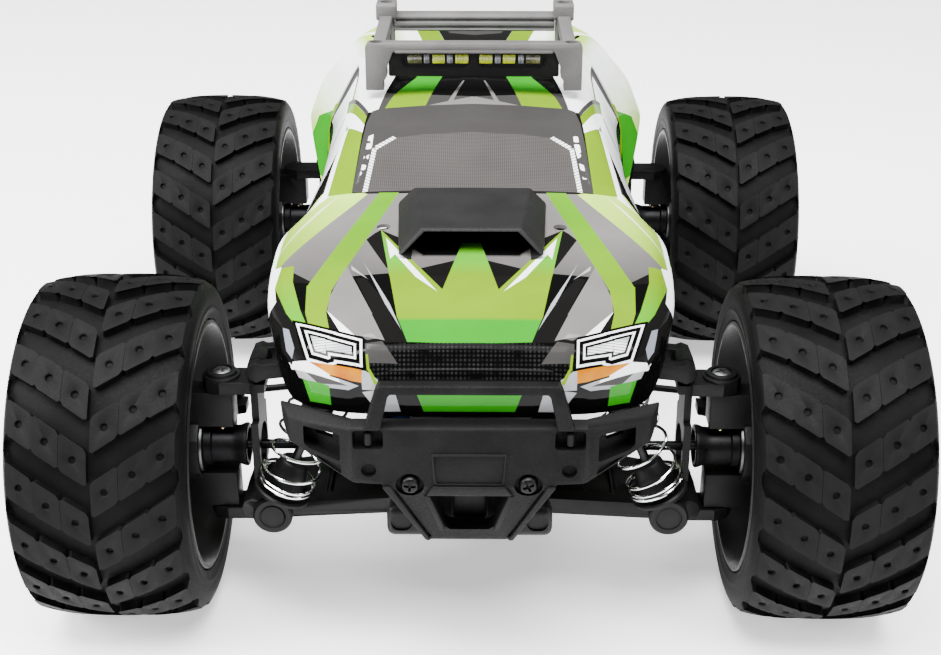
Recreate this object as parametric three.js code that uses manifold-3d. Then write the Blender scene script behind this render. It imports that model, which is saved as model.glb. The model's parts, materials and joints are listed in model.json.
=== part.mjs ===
// Four-wheel-drive radio-controlled monster truck, about 1/12 scale.
// Millimetres, +Z up, the front of the truck faces -Y. Names with right mean +X, with left -X.
// The origin is on the ground, midway between the axles.
import * as THREE from "three";
import { mergeVertices } from "three/addons/utils/BufferGeometryUtils.js";
import Module from "manifold-3d";

const wasm = await Module();
wasm.setup();

// ---------------------------------------------------------------- driving dimensions
const WHEELBASE = 220;
const HALF_BASE = WHEELBASE / 2;
const TRACK = 224;
const WHEEL_X = TRACK / 2;
const TYRE_RADIUS = 56;
const TYRE_WIDTH = 54;
const BEAD_RADIUS = 41;
const TYRE_WALL = 3.2;
const TYRE_SIDES = 28;
const AXLE_Z = TYRE_RADIUS;
const HALF_LENGTH = 180;
const OVERALL_HEIGHT = 166;
const GAP = 0.35; // between touching pieces
const PIN = 1.5; // hinge pin radius
const PIN_BORE = 1.95;
const PIN_SIDES = 6; // sides of the prisms that stand for small round bars and bores
const BOSS_SIDES = 8;
const CUP_SIDES = 12;

// Suspension pivots as [x, z] in the plane across the truck; both arms are equal and parallel.
const LOWER_IN = [17, 45];
const LOWER_OUT = [71, 39];
const PIVOT_RISE = [-3, 47]; // from a lower pivot to the upper pivot above it
const UPPER_IN = [LOWER_IN[0] + PIVOT_RISE[0], LOWER_IN[1] + PIVOT_RISE[1]];
const UPPER_OUT = [LOWER_OUT[0] + PIVOT_RISE[0], LOWER_OUT[1] + PIVOT_RISE[1]];
const ARM_VECTOR = [LOWER_OUT[0] - LOWER_IN[0], LOWER_OUT[1] - LOWER_IN[1]];
const ARM_LENGTH = Math.hypot(...ARM_VECTOR);
const ARM_SLOPE = Math.atan2(ARM_VECTOR[1], ARM_VECTOR[0]);
const KINGPIN_X = 80.5;
const SHOCK_TOP = [38, 102];
const SHOCK_FOOT = [63, 43];
const SHOCK_V = 19; // how far outboard of the axle line, towards the truck's end, a damper stands
const SPRING_RADIUS = 7.4;
const SPRING_WIRE = 0.9;
const SPRING_TURNS = 5;

const TIE_ROD_OUT = [79, 66.4];
const TIE_ROD_IN = [TIE_ROD_OUT[0] - ARM_VECTOR[0], TIE_ROD_OUT[1] - ARM_VECTOR[1]];
const STEER_V = -18; // steering arms and rack, on the inner side of the front axle
const HORN_X = 14;
const HORN_LENGTH = 18;

// ---------------------------------------------------------------- materials
const paint = (color, roughness, metalness = 0) =>
  new THREE.MeshStandardMaterial({ color, roughness, metalness });
const RUBBER = paint(0x17181a, 0.75);
const NYLON = paint(0x1d1e20, 0.55);
const RIM_PLASTIC = paint(0x2a2c2f, 0.35);
const TRIM_PLASTIC = paint(0x3a3c3f, 0.8);
const DARK_STEEL = paint(0x55565a, 0.4, 0.9);
const SPRING_STEEL = paint(0xb9bcc0, 0.25, 1);
const BODY_PAINT = paint(0x7fc41c, 0.2);
const BATTERY_WRAP = paint(0x2b4fa0, 0.45);

// ---------------------------------------------------------------- solid helpers
// A closed three.js geometry as a solid that can be joined and cut.
function solid(geometry) {
  const bare = geometry.clone();
  bare.deleteAttribute("normal");
  bare.deleteAttribute("uv");
  const merged = mergeVertices(bare, 1e-4);
  return new wasm.Manifold(
    new wasm.Mesh({
      numProp: 3,
      vertProperties: merged.attributes.position.array,
      triVerts: new Uint32Array(merged.index.array),
    }),
  );
}

function geometryOf(body) {
  const mesh = body.getMesh();
  const geometry = new THREE.BufferGeometry();
  geometry.setAttribute("position", new THREE.BufferAttribute(mesh.vertProperties, 3));
  geometry.setIndex(new THREE.BufferAttribute(mesh.triVerts, 1));
  geometry.computeVertexNormals();
  return geometry;
}

const join = (...bodies) => bodies.reduce((whole, body) => whole.add(body));
const cut = (body, ...tools) => tools.reduce((whole, tool) => whole.subtract(tool), body);

// A block between two opposite corners.
function block([x0, x1], [y0, y1], [z0, z1]) {
  const geometry = new THREE.BoxGeometry(x1 - x0, y1 - y0, z1 - z0);
  return solid(geometry.translate((x0 + x1) / 2, (y0 + y1) / 2, (z0 + z1) / 2));
}

// A round bar from one point to another.
function bar(from, to, radius, sides = 12) {
  const a = new THREE.Vector3(...from);
  const b = new THREE.Vector3(...to);
  const along = b.clone().sub(a);
  const geometry = new THREE.CylinderGeometry(radius, radius, along.length(), sides);
  const turn = new THREE.Quaternion().setFromUnitVectors(
    new THREE.Vector3(0, 1, 0),
    along.clone().normalize(),
  );
  geometry.applyQuaternion(turn);
  return solid(geometry.translate(...a.add(b).multiplyScalar(0.5).toArray()));
}

// Bars along one row axis, with the other two coordinates given.
const barX = (y, z, x0, x1, radius, sides) => bar([x0, y, z], [x1, y, z], radius, sides);
const barY = ([x, z], y0, y1, radius, sides) => bar([x, y0, z], [x, y1, z], radius, sides);
const barZ = (x, y, z0, z1, radius, sides) => bar([x, y, z0], [x, y, z1], radius, sides);

// A body of revolution about the X axis; the profile is a closed loop of [x, radius].
function turned(profile, sides) {
  const points = profile.map(([x, radius]) => new THREE.Vector2(radius, x));
  points.push(points[0].clone());
  const geometry = new THREE.LatheGeometry(points, sides);
  return outwards(geometry.rotateZ(-Math.PI / 2));
}

// A solid whose faces are turned round if they point inwards.
function outwards(geometry) {
  const made = solid(geometry);
  if (made.volume() > 0) return made;
  const index = geometry.index.array.slice();
  for (let i = 0; i < index.length; i += 3) {
    [index[i], index[i + 1]] = [index[i + 1], index[i]];
  }
  return solid(geometry.clone().setIndex(new THREE.BufferAttribute(index, 1)));
}

// The corners of an outline: points on a straight stretch would leave unmatched edges in a cap.
function cornersOf(outline) {
  const at = (i) => outline[(i + outline.length) % outline.length];
  const bends = outline.filter(([x, z], i) => {
    const [[x0, z0], [x1, z1]] = [at(i - 1), at(i + 1)];
    return Math.abs((x - x0) * (z1 - z) - (z - z0) * (x1 - x)) > 1e-6;
  });
  return bends.map((p) => new THREE.Vector2(...p));
}

// An outline with its points turned anticlockwise whichever way they are listed.
function shapeOf(outline) {
  const points = cornersOf(outline);
  return new THREE.Shape(THREE.ShapeUtils.isClockWise(points) ? points.reverse() : points);
}

// A plate with its outline in XY, lying from z0 to z1, with holes right through it.
function plateXY(outline, [z0, z1], holes = []) {
  const slab = (shape, low, high) => {
    const straight = { depth: high - low, bevelEnabled: false };
    return solid(new THREE.ExtrudeGeometry(shape, straight).translate(0, 0, low));
  };
  const tools = holes.map((hole) => slab(shapeOf(hole), z0 - 1, z1 + 1));
  return cut(slab(shapeOf(outline), z0, z1), ...tools);
}

// A plate with its outline in XZ, standing across the truck from y0 to y1.
function plateXZ(outline, [y0, y1], holes = []) {
  return plateXY(outline, [-y1, -y0], holes).rotate([90, 0, 0]);
}

// The right-hand half of an outline, from top to bottom, closed with its mirror image.
function mirrored(half) {
  const other = half.filter(([x]) => x !== 0).map(([x, z]) => [-x, z]);
  return [...half, ...other.reverse()];
}

// A solid skinned over closed sections of equal point counts, stationed along Y and listed clockwise.
function loft(stations) {
  const count = stations[0].outline.length;
  const positions = [];
  const index = [];
  stations.forEach(({ y, outline }) => outline.forEach(([x, z]) => positions.push(x, y, z)));
  for (let s = 0; s + 1 < stations.length; s += 1) {
    for (let i = 0; i < count; i += 1) {
      const j = (i + 1) % count;
      const [a, b, c, d] = [s * count + i, s * count + j, (s + 1) * count + i, (s + 1) * count + j];
      index.push(a, b, c, b, d, c);
    }
  }
  const cap = ({ outline }) =>
    THREE.ShapeUtils.triangulateShape(outline.map((p) => new THREE.Vector2(...p)), []);
  const base = (stations.length - 1) * count;
  cap(stations[0]).forEach(([a, b, c]) => index.push(a, b, c));
  cap(stations.at(-1)).forEach(([a, b, c]) => index.push(base + a, base + c, base + b));
  const geometry = new THREE.BufferGeometry();
  geometry.setAttribute("position", new THREE.Float32BufferAttribute(positions, 3));
  geometry.setIndex(index);
  return outwards(geometry);
}

// ---------------------------------------------------------------- body shell
// Sections of the painted shell: y, then the right half from the roof centre to the lower edge.
const SHELL_SECTIONS = [
  [-170, [[0, 113], [24, 112.5], [28, 109], [29, 104], [27, 98]]],
  [-163, [[0, 118.5], [28, 117.5], [41, 113], [43.5, 105], [42, 96]]],
  [-150, [[0, 121], [36, 119.5], [51, 115], [55.5, 107], [54, 94]]],
  [-128, [[0, 122.5], [36, 121.5], [56, 118], [61, 112], [60, 102]]],
  [-108, [[0, 123.8], [35, 123], [56, 121], [61, 116], [61.5, 108]]],
  [-88, [[0, 125.2], [34, 124.6], [55, 123.5], [60.5, 119], [61.5, 106]]],
  [-62, [[0, 127.5], [42, 126], [50, 125], [59, 114], [58, 90]]],
  [-15, [[0, 144.5], [38, 142.5], [44, 138], [58, 112], [60, 72]]],
  [5, [[0, 147], [40, 145.5], [45, 140], [58, 112], [60, 70]]],
  [55, [[0, 147.5], [40, 146], [46, 140], [59, 114], [61, 72]]],
  [78, [[0, 147], [42, 145.5], [48.5, 140], [63, 118], [68, 100]]],
  [104, [[0, 145.5], [44, 143.5], [51.5, 139], [66, 122], [72.5, 109]]],
  [135, [[0, 143], [42, 141], [49, 136], [64, 120], [69.5, 106]]],
  [162, [[0, 136], [38, 134], [45, 128], [58, 112], [62, 99]]],
  [HALF_LENGTH, [[0, 119], [33, 118], [41, 112], [50, 104], [54, 95]]],
];
const SHELL_WALL = 1.8;

function bodyShell() {
  const outer = SHELL_SECTIONS.map(([y, half]) => ({ y, outline: mirrored(half) }));
  const inner = SHELL_SECTIONS.map(([y, half], i) => {
    const atEnd = i === 0 ? SHELL_WALL : i === SHELL_SECTIONS.length - 1 ? -SHELL_WALL : 0;
    const side = half.slice(1).map(([x, z]) => [x - SHELL_WALL, z - SHELL_WALL * 0.8]);
    side.at(-1)[1] -= SHELL_WALL * 4;
    return { y: y + atEnd, outline: mirrored([[0, half[0][1] - SHELL_WALL], ...side]) };
  });
  return cut(loft(outer), loft(inner));
}

// Air scoop standing on the bonnet, with a six-sided mouth facing forwards.
function hoodScoop() {
  const section = (y, lift, wide, high) => ({
    y,
    outline: mirrored([
      [0, lift + high],
      [wide * 0.72, lift + high],
      [wide, lift + high * 0.45],
      [wide * 0.8, lift],
      [0, lift],
    ]),
  });
  const shell = loft([
    section(-114, 124.4, 20, 7.8),
    section(-92, 125.7, 21.5, 9.5),
    section(-70, 127.6, 22, 6),
  ]);
  const mouth = loft([section(-118, 125.5, 17, 5.6), section(-102, 126.6, 17, 5.6)]);
  return cut(shell, mouth);
}

// Roof rack: lamp panel in front, two side rails, a rear crossbar and two rear uprights.
const RACK = { front: [-8, -2.5], rear: 60, foot: 148, rail: [33, 38], half: 39.4 };
function roofRack() {
  const panel = plateXZ(
    mirrored([[0, 165], [37.9, 165], [RACK.half, 160], [RACK.half, 149], [37, 147.6], [0, 147.6]]),
    RACK.front,
  );
  const recess = block([-31, 31], [RACK.front[0] - 1, RACK.front[0] + 2.5], [154.5, 162.5]);
  const rails = [-1, 1].map((side) => {
    const [a, b] = [side * RACK.rail[0], side * RACK.rail[1]].sort((p, q) => p - q);
    const rail = block([a, b], [-4, RACK.rear], [156.5, 161.5]);
    const upright = block([a - 1.5, b + 1.5], [RACK.rear - 6, RACK.rear + 5], [RACK.foot, OVERALL_HEIGHT]);
    const foot = block([a, b], [22, 28], [RACK.foot, 158]);
    return join(rail, upright, foot);
  });
  const crossbar = block([-34, 34], [RACK.rear - 4.5, RACK.rear + 1.5], [155, 162]);
  const skirt = block([-36, 36], [-9, 0], [140, 147.9]);
  return cut(join(panel, ...rails, crossbar), recess, skirt);
}

// ---------------------------------------------------------------- frame
const FLOOR = [38, 41];
const TUB_HALF = 33;
const TUB_END = 94;

function chassisTub() {
  const outline = [
    [-18, -TUB_END],
    [18, -TUB_END],
    [TUB_HALF, -70],
    [TUB_HALF, 70],
    [18, TUB_END],
    [-18, TUB_END],
    [-TUB_HALF, 70],
    [-TUB_HALF, -70],
  ];
  const floor = plateXY(outline, FLOOR);
  const walls = [-1, 1].map((side) => {
    const [a, b] = [side * TUB_HALF, side * (TUB_HALF - 2.6)].sort((p, q) => p - q);
    return block([a, b], [-69, 69], [FLOOR[0], 56]);
  });
  const bearings = [-46, 46].map((y) => {
    const pillar = block([-5.2, 5.2], [y - 3, y + 3], [FLOOR[0] + 1, 64]);
    return cut(pillar, barY([0, AXLE_Z], y - 5, y + 5, 2.9, BOSS_SIDES));
  });
  const motorMount = cut(
    block([4, 30], [31, 35], [FLOOR[0] + 1, 72]),
    barY([0, AXLE_Z], 29, 37, 9, BOSS_SIDES),
    barY(MOTOR_AXIS, 29, 37, 4.2, BOSS_SIDES),
  );
  return join(floor, ...walls, ...bearings, motorMount);
}

// Gearbox case with its damper tower and pivot brackets. It is drawn for the front and mirrored
// for the rear: v runs from the axle line towards the truck's nearer end.
const CASE_X = 19;
const CASE_V = 15;
const TOWER_V = [7.5, 10.2];
const EYE_V = [SHOCK_V - 2.8, SHOCK_V + 2.8];
const EYE_PIN = 1.8;
const EYE_BORE = 2.4;

function bulkhead() {
  const casing = cut(
    join(
      block([-CASE_X, CASE_X], [-CASE_V, CASE_V], [49.4, 74]),
      block([-12.8, 12.8], [-CASE_V, CASE_V], [42, 50]),
    ),
    block([-15.8, 15.8], [-12.4, 12.4], [51, 71]),
    block([-10.6, 10.6], [-12.4, 12.4], [43.5, 52]),
    barX(0, AXLE_Z, -CASE_X - 1, CASE_X + 1, 7.9, CUP_SIDES),
  );
  const keel = block([-12, 12], [-CASE_V, 24.8], [FLOOR[0], 43]);
  const innerKeel = block([-12, 12], [-24.8, -CASE_V + 1], [FLOOR[1] + GAP, 49.5]);
  const towerOutline = mirrored([
    [22, 104],
    [SHOCK_TOP[0] + 5, 107],
    [SHOCK_TOP[0] + 6, 99],
    [24, 84],
    [17, 72],
  ]);
  const tower = plateXZ(towerOutline, TOWER_V, [mirrored([[5, 92], [7, 80]])]);
  const sides = [-1, 1].map((side) => {
    const at = ([x, z]) => [side * x, z];
    const span = (a, b) => [side * a, side * b].sort((p, q) => p - q);
    const lowerLugs = [[-24.8, -20.4], [20.4, 24.8]].map(([v0, v1]) =>
      join(
        barY(at(LOWER_IN), v0, v1, 3.9, BOSS_SIDES),
        block(span(3, LOWER_IN[0]), [v0, v1], [FLOOR[0], 48.4]),
      ),
    );
    const lowerPin = barY(at(LOWER_IN), -22, 22, PIN, PIN_SIDES);
    const upperLug = block(span(8, UPPER_IN[0] + 4), [-11, -7.4], [73, UPPER_IN[1] + 4]);
    const upperPin = barY(at(UPPER_IN), -9, 9, PIN, PIN_SIDES);
    const post = join(
      barY(at(SHOCK_TOP), TOWER_V[0], EYE_V[0] - GAP, 4, BOSS_SIDES),
      barY(at(SHOCK_TOP), TOWER_V[0], EYE_V[1] + 2, EYE_PIN, PIN_SIDES),
      barY(at(SHOCK_TOP), EYE_V[1] + GAP, EYE_V[1] + 2.6, 3.6, PIN_SIDES),
    );
    return join(...lowerLugs, lowerPin, upperLug, upperPin, post);
  });
  return cut(
    join(casing, keel, innerKeel, tower, ...sides),
    barY([0, AXLE_Z], -26, -12, 3.6, BOSS_SIDES),
    block([-40, 40], [-27, -15.5], [0, FLOOR[1] + GAP]),
  );
}

// Tail pad bolted below the rear gearbox, moulded with the rear bulkhead.
function rearBulkhead() {
  const arm = block([-9, 9], [23, 52], [40, 46]);
  const pad = plateXZ(mirrored([[0, 66], [30, 66], [34, 60], [22, 42], [0, 38]]), [48, 56]);
  const window = plateXZ(mirrored([[0, 60], [16, 60], [10, 49], [0, 49]]), [47, 57]);
  return join(bulkhead(), arm, cut(pad, window));
}

// Front bumper: a swept face with through-holes, a lower skid and a low hoop across the grille.
const BUMPER_TOP = 101;
function frontBumper() {
  const face = mirrored([
    [0, BUMPER_TOP],
    [33, BUMPER_TOP],
    [54, 100],
    [53, 94],
    [31, 80.5],
    [23, 80],
    [12.5, 55],
    [0, 55],
  ]);
  const opening = mirrored([[0, 76], [16.5, 76], [8, 61.5], [0, 61.5]]);
  const outerHole = [[37, 96], [46, 96], [44, 91], [38, 88]];
  const otherHole = outerHole.map(([x, z]) => [-x, z]).reverse();
  const depth = [-HALF_LENGTH, -150];
  const front = plateXZ(face, depth, [opening, outerHole, otherHole]);
  const sweep = plateXY(
    [
      [-54, -165],
      [-32, -HALF_LENGTH],
      [32, -HALF_LENGTH],
      [54, -165],
      [54, -159.8],
      [50.6, -160],
      [28.6, -175],
      [-28.6, -175],
      [-50.6, -160],
      [-54, -159.8],
    ],
    [50, 105],
  );
  const hoop = plateXZ(
    mirrored([[0, 112.6], [25.9, 112.6], [29.6, 100], [24.9, 100], [22.4, 107.8], [0, 107.8]]),
    [-HALF_LENGTH, -175.6],
  );
  const spine = join(
    block([-10, 10], [-176, -135.2], [56, 61]),
    block([-18, 18], [-176, -125.4], [76.4, 80]),
  );
  return join(front.intersect(sweep), hoop, spine);
}

// ---------------------------------------------------------------- drive line
const MOTOR_AXIS = [17.5, 58];
const SPUR_RADIUS = 12.6;
const PINION_RADIUS = Math.hypot(MOTOR_AXIS[0], MOTOR_AXIS[1] - AXLE_Z) - SPUR_RADIUS - GAP;
const MOTOR_RADIUS = 12;

function centreShaft() {
  const reach = HALF_BASE - 8.4;
  return join(
    barY([0, AXLE_Z], -reach, reach, 2.2, BOSS_SIDES),
    barY([0, AXLE_Z], -reach, -reach + 3.4, 3.1, BOSS_SIDES),
    barY([0, AXLE_Z], reach - 3.4, reach, 3.1, BOSS_SIDES),
    barY([0, AXLE_Z], 24, 29, SPUR_RADIUS, 24),
  );
}

function motorPinion() {
  return join(barY(MOTOR_AXIS, 23.5, 29.5, PINION_RADIUS, 12), barY(MOTOR_AXIS, 29, 36.4, 1.2, PIN_SIDES));
}

function motor() {
  const can = barY(MOTOR_AXIS, 36, 68, MOTOR_RADIUS, 16);
  return cut(can, barY(MOTOR_AXIS, 35, 42, 2.4, BOSS_SIDES));
}

// A crown gear with an outdrive cup at each end, turning on the axle line.
const CUP_RIM = 30;
function differential() {
  const cup = [
    [19, 0],
    [19, 5],
    [CUP_RIM, 5.7],
    [CUP_RIM, 6.9],
  ];
  const otherCup = cup.map(([x, radius]) => [-x, radius]).reverse();
  const crown = [
    [7, 6.9],
    [7, 11.4],
    [3.6, 11.4],
    [3.6, 6.9],
  ];
  return turned([...cup, ...crown, ...otherCup], CUP_SIDES);
}

// ---------------------------------------------------------------- steering
const RACK_TOP = TIE_ROD_IN[1] - 3.4;
const steerY = -(HALF_BASE + STEER_V);
const HORN_Y = steerY + 6 + HORN_LENGTH;

function steeringRack() {
  const bridge = block([-28.5, 28.5], [steerY - 1.6, steerY + 2.4], [RACK_TOP - 3.6, RACK_TOP]);
  const tab = block([HORN_X - 5, HORN_X + 5], [steerY + 2, steerY + 10], [RACK_TOP - 3.6, RACK_TOP]);
  const slot = block([HORN_X - 1.9, HORN_X + 1.9], [steerY + 3.6, steerY + 11], [60, RACK_TOP + 1]);
  return cut(join(bridge, tab), slot);
}

function servoHorn() {
  const low = RACK_TOP + 0.6;
  return join(
    barZ(HORN_X, HORN_Y, low, low + 3, 4, BOSS_SIDES),
    block([HORN_X - 2.6, HORN_X + 2.6], [steerY + 4, HORN_Y], [low, low + 2.4]),
    barZ(HORN_X, steerY + 6, RACK_TOP - 4, low + 0.2, 1.5, PIN_SIDES),
    barZ(HORN_X, HORN_Y, low - 3, low + 0.2, 2, PIN_SIDES),
  );
}

function steeringServo() {
  const top = RACK_TOP + 0.2;
  const wide = [HORN_X - 6.5, HORN_X + 6.5];
  const body = block(wide, [HORN_Y - 8, HORN_Y + 21], [FLOOR[1] + GAP, top - 2]);
  const flange = block(wide, [HORN_Y - 10.5, HORN_Y + 27], [58, 60.5]);
  return cut(join(body, flange), barZ(HORN_X, HORN_Y, top - 6, top + 1, 2.7, BOSS_SIDES));
}

function tieRod(side) {
  const inner = [side * TIE_ROD_IN[0], steerY, TIE_ROD_IN[1]];
  const outer = [side * TIE_ROD_OUT[0], steerY, TIE_ROD_OUT[1]];
  const ball = (at) => solid(new THREE.SphereGeometry(3, 8, 6).translate(...at));
  return join(bar(inner, outer, 1.3, PIN_SIDES), ball(inner), ball(outer));
}

function batteryPack() {
  return block([-29.8, -8], [-66, 21], [FLOOR[1] + GAP, 62]);
}

// ---------------------------------------------------------------- one corner
// x runs outboard, v towards the truck's nearer end, z up from the ground.
const HUB_LUG = 7;

function tyre() {
  const half = TYRE_WIDTH / 2;
  const [inside, outside] = [WHEEL_X - half, WHEEL_X + half];
  const crown = [
    [inside, BEAD_RADIUS],
    [inside, 48],
    [inside + 4, 53.6],
    [WHEEL_X - 14, TYRE_RADIUS],
    [WHEEL_X + 14, TYRE_RADIUS],
    [outside - 4, 53.6],
    [outside, 48],
    [outside, BEAD_RADIUS],
  ];
  const cavity = [
    [outside - TYRE_WALL, BEAD_RADIUS],
    [outside - 6, 50.2],
    [inside + 6, 50.2],
    [inside + TYRE_WALL, BEAD_RADIUS],
  ];
  return turned([...crown, ...cavity], TYRE_SIDES);
}

// Deep-dished rim: an open barrel, a web behind its middle and a bead lip at each end.
function rim() {
  const bead = BEAD_RADIUS - GAP;
  const web = [102, 105.6];
  return turned(
    [
      [86, bead],
      [86, 38.4],
      [web[0], 31],
      [web[0], 3],
      [web[1], 3],
      [web[1], 29],
      [111, 35],
      [138, 38.4],
      [138, bead],
    ],
    24,
  );
}

// Stub axle: a drive cup at the kingpin, the wheel hex and the wheel nut.
function stubAxle() {
  const shaft = turned(
    [
      [73, 5.6],
      [86, 5.6],
      [86, 0],
      [112, 0],
      [112, 2.5],
      [87.6, 2.5],
      [87.6, 7.2],
      [73, 7.2],
    ],
    CUP_SIDES,
  );
  const hex = barX(0, 0, 95.6, 101.6, 6.9, 6);
  const nut = barX(0, 0, 107.5, 111, 4.4, 6);
  return join(shaft, hex, nut).translate([0, 0, AXLE_Z]);
}

function dogbone() {
  const [inner, outer] = [25, 79.5];
  return turned(
    [
      [inner - 2.6, 0],
      [outer + 2.6, 0],
      [outer + 2.2, 1.6],
      [outer, 2.6],
      [outer - 2.4, 1.7],
      [inner + 2.4, 1.7],
      [inner, 2.6],
      [inner - 2.2, 1.6],
    ],
    BOSS_SIDES,
  ).translate([0, 0, AXLE_Z]);
}

// A plate arm drawn flat along u from its inner pivot, then sloped into place.
function slopedArm(outline, windows, thickness, pivot) {
  const flat = plateXY(outline, [-thickness / 2, thickness / 2], windows);
  const degrees = (-ARM_SLOPE * 180) / Math.PI;
  return flat.rotate([0, degrees, 0]).translate([pivot[0], 0, pivot[1]]);
}

function lowerArm() {
  const tip = ARM_LENGTH;
  const plate = slopedArm(
    [
      [0, -19.8],
      [30, -15.5],
      [tip, -13],
      [tip, -HUB_LUG - GAP],
      [tip - 7.2, -HUB_LUG - GAP],
      [tip - 7.2, HUB_LUG + GAP],
      [tip, HUB_LUG + GAP],
      [tip, 13],
      [46, 15.5],
      [30, 17],
      [0, 19.8],
    ],
    [[[9, -13], [30, -10.5], [30, 11], [9, 13.5]]],
    5.4,
    LOWER_IN,
  );
  const pieces = join(
    plate,
    barY(LOWER_IN, -19.8, 19.8, 3.5, BOSS_SIDES),
    barY(LOWER_OUT, -13, -HUB_LUG - GAP, 3.7, BOSS_SIDES),
    barY(LOWER_OUT, HUB_LUG + GAP, 13, 3.7, BOSS_SIDES),
    barY(LOWER_OUT, -12, 12, PIN, PIN_SIDES),
    barY(SHOCK_FOOT, 10.2, EYE_V[0] - GAP, 4.6, BOSS_SIDES),
    barY(SHOCK_FOOT, 11, EYE_V[1] + 2, EYE_PIN, PIN_SIDES),
    barY(SHOCK_FOOT, EYE_V[1] + GAP, EYE_V[1] + 2.8, 5.6, BOSS_SIDES),
  );
  return cut(pieces, barY(LOWER_IN, -21, 21, PIN_BORE, PIN_SIDES));
}

const TOP_LUG = 4;
function upperArm() {
  const tip = ARM_LENGTH;
  const plate = slopedArm(
    [
      [0, -6.8],
      [10, -6],
      [40, -6],
      [46, -9],
      [tip, -9],
      [tip, -TOP_LUG - GAP],
      [tip - 6, -TOP_LUG - GAP],
      [tip - 6, TOP_LUG + GAP],
      [tip, TOP_LUG + GAP],
      [tip, 9],
      [46, 9],
      [40, 6],
      [10, 6],
      [0, 6.8],
    ],
    [[[38, -2.6], [44, -2.6], [44, 2.6], [38, 2.6]]],
    5,
    UPPER_IN,
  );
  const pieces = join(
    plate,
    barY(UPPER_IN, -6.8, 6.8, 3.6, BOSS_SIDES),
    barY(UPPER_OUT, -9, -TOP_LUG - GAP, 3.4, BOSS_SIDES),
    barY(UPPER_OUT, TOP_LUG + GAP, 9, 3.4, BOSS_SIDES),
    barY(UPPER_OUT, -8, 8, PIN, PIN_SIDES),
  );
  return cut(pieces, barY(UPPER_IN, -8, 8, PIN_BORE, PIN_SIDES));
}

// Bracket that both arms carry: lugs for the two pins, a web and an eye above and below the axle.
const PLATE_TOP = [77, 81];
const PLATE_FOOT = [31, 35];
function hubBracket() {
  const eye = ([z0, z1]) =>
    join(block([66, KINGPIN_X], [-6, 6], [z0, z1]), barZ(KINGPIN_X, 0, z0, z1, 6.4, BOSS_SIDES));
  const web = join(
    block([66, 70.6], [-9.6, 9.6], [48, 68]),
    block([66, 70.6], [-6.8, 6.8], [PLATE_FOOT[0], PLATE_TOP[1]]),
  );
  const footLug = join(
    barY(LOWER_OUT, -HUB_LUG, HUB_LUG, 4, BOSS_SIDES),
    block([67, 71], [-HUB_LUG, HUB_LUG], [PLATE_FOOT[0], LOWER_OUT[1]]),
  );
  const topLug = join(
    barY(UPPER_OUT, -TOP_LUG, TOP_LUG, 3.6, BOSS_SIDES),
    block([66, 71.4], [-TOP_LUG, TOP_LUG], [PLATE_TOP[0], UPPER_OUT[1]]),
  );
  const tube = barX(0, AXLE_Z, 64, 72, 7.8, CUP_SIDES);
  return cut(
    join(web, eye(PLATE_TOP), eye(PLATE_FOOT), footLug, topLug),
    tube,
    barY(LOWER_OUT, -8, 8, PIN_BORE, PIN_SIDES),
    barY(UPPER_OUT, -5, 5, PIN_BORE, PIN_SIDES),
  );
}

// The upright that carries the wheel bearings, forked round the drive cup.
function upright(steered) {
  const reach = steered ? -GAP : 1;
  const [top, foot] = [PLATE_TOP[0] + reach, PLATE_FOOT[1] - reach];
  const fork = join(
    block([77, 92.4], [-4.8, 4.8], [64.6, top]),
    block([77, 92.4], [-4.8, 4.8], [foot, 47.4]),
    barX(0, AXLE_Z, 88.2, 95.2, 11.4, CUP_SIDES),
  );
  const kingpins = steered
    ? [[PLATE_TOP[0] - 2, PLATE_TOP[1] + 1], [PLATE_FOOT[1] - 1, PLATE_FOOT[1] + 2]].map(([z0, z1]) =>
        barZ(KINGPIN_X, 0, z0, z1, 2.3, BOSS_SIDES),
      )
    : [];
  return cut(join(fork, ...kingpins), barX(0, AXLE_Z, 87, 96, 3.1, CUP_SIDES));
}

function frontHubBracket() {
  return cut(hubBracket(), barZ(KINGPIN_X, 0, 30, 82, 2.9, BOSS_SIDES));
}

function rearHub() {
  return join(hubBracket(), upright(false));
}

function steeringKnuckle() {
  const eyeZ = TIE_ROD_OUT[1] - 3.4;
  const arm = plateXY(
    [
      [92, -4],
      [92, -12],
      [82.4, STEER_V - 3.4],
      [TIE_ROD_OUT[0] - 3, STEER_V - 3.4],
      [TIE_ROD_OUT[0] - 3, STEER_V + 3],
      [88.4, -9.4],
      [88.4, -4],
    ],
    [eyeZ - 3.4, eyeZ],
  );
  return join(upright(true), arm);
}

// ---------------------------------------------------------------- dampers
const SHOCK_AXIS = new THREE.Vector3(SHOCK_FOOT[0] - SHOCK_TOP[0], 0, SHOCK_FOOT[1] - SHOCK_TOP[1]);
const SHOCK_LENGTH = SHOCK_AXIS.length();
const DAMPER_FOOT = 34; // distance from the top pivot to the mouth of the damper body
const CUP_AT = SHOCK_LENGTH - 8.4; // distance from the top pivot to the lower spring cup
const COLLAR_AT = 10.5;

// The point at a distance from the top pivot along the damper.
function onShock(distance) {
  const share = distance / SHOCK_LENGTH;
  return [SHOCK_TOP[0] + SHOCK_AXIS.x * share, SHOCK_V, SHOCK_TOP[1] + SHOCK_AXIS.z * share];
}

function shockBody() {
  const eye = barY(SHOCK_TOP, ...EYE_V, 4.6, CUP_SIDES);
  const body = bar(onShock(4), onShock(DAMPER_FOOT), 5.4, CUP_SIDES);
  const collar = bar(onShock(COLLAR_AT - 2.6), onShock(COLLAR_AT), 8.2, CUP_SIDES);
  const bore = bar(onShock(6.4), onShock(DAMPER_FOOT + 1), 3.2, BOSS_SIDES);
  const eyeBore = barY(SHOCK_TOP, EYE_V[0] - 1, EYE_V[1] + 1, EYE_BORE, BOSS_SIDES);
  return cut(join(eye, body, collar), bore, eyeBore);
}

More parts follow.
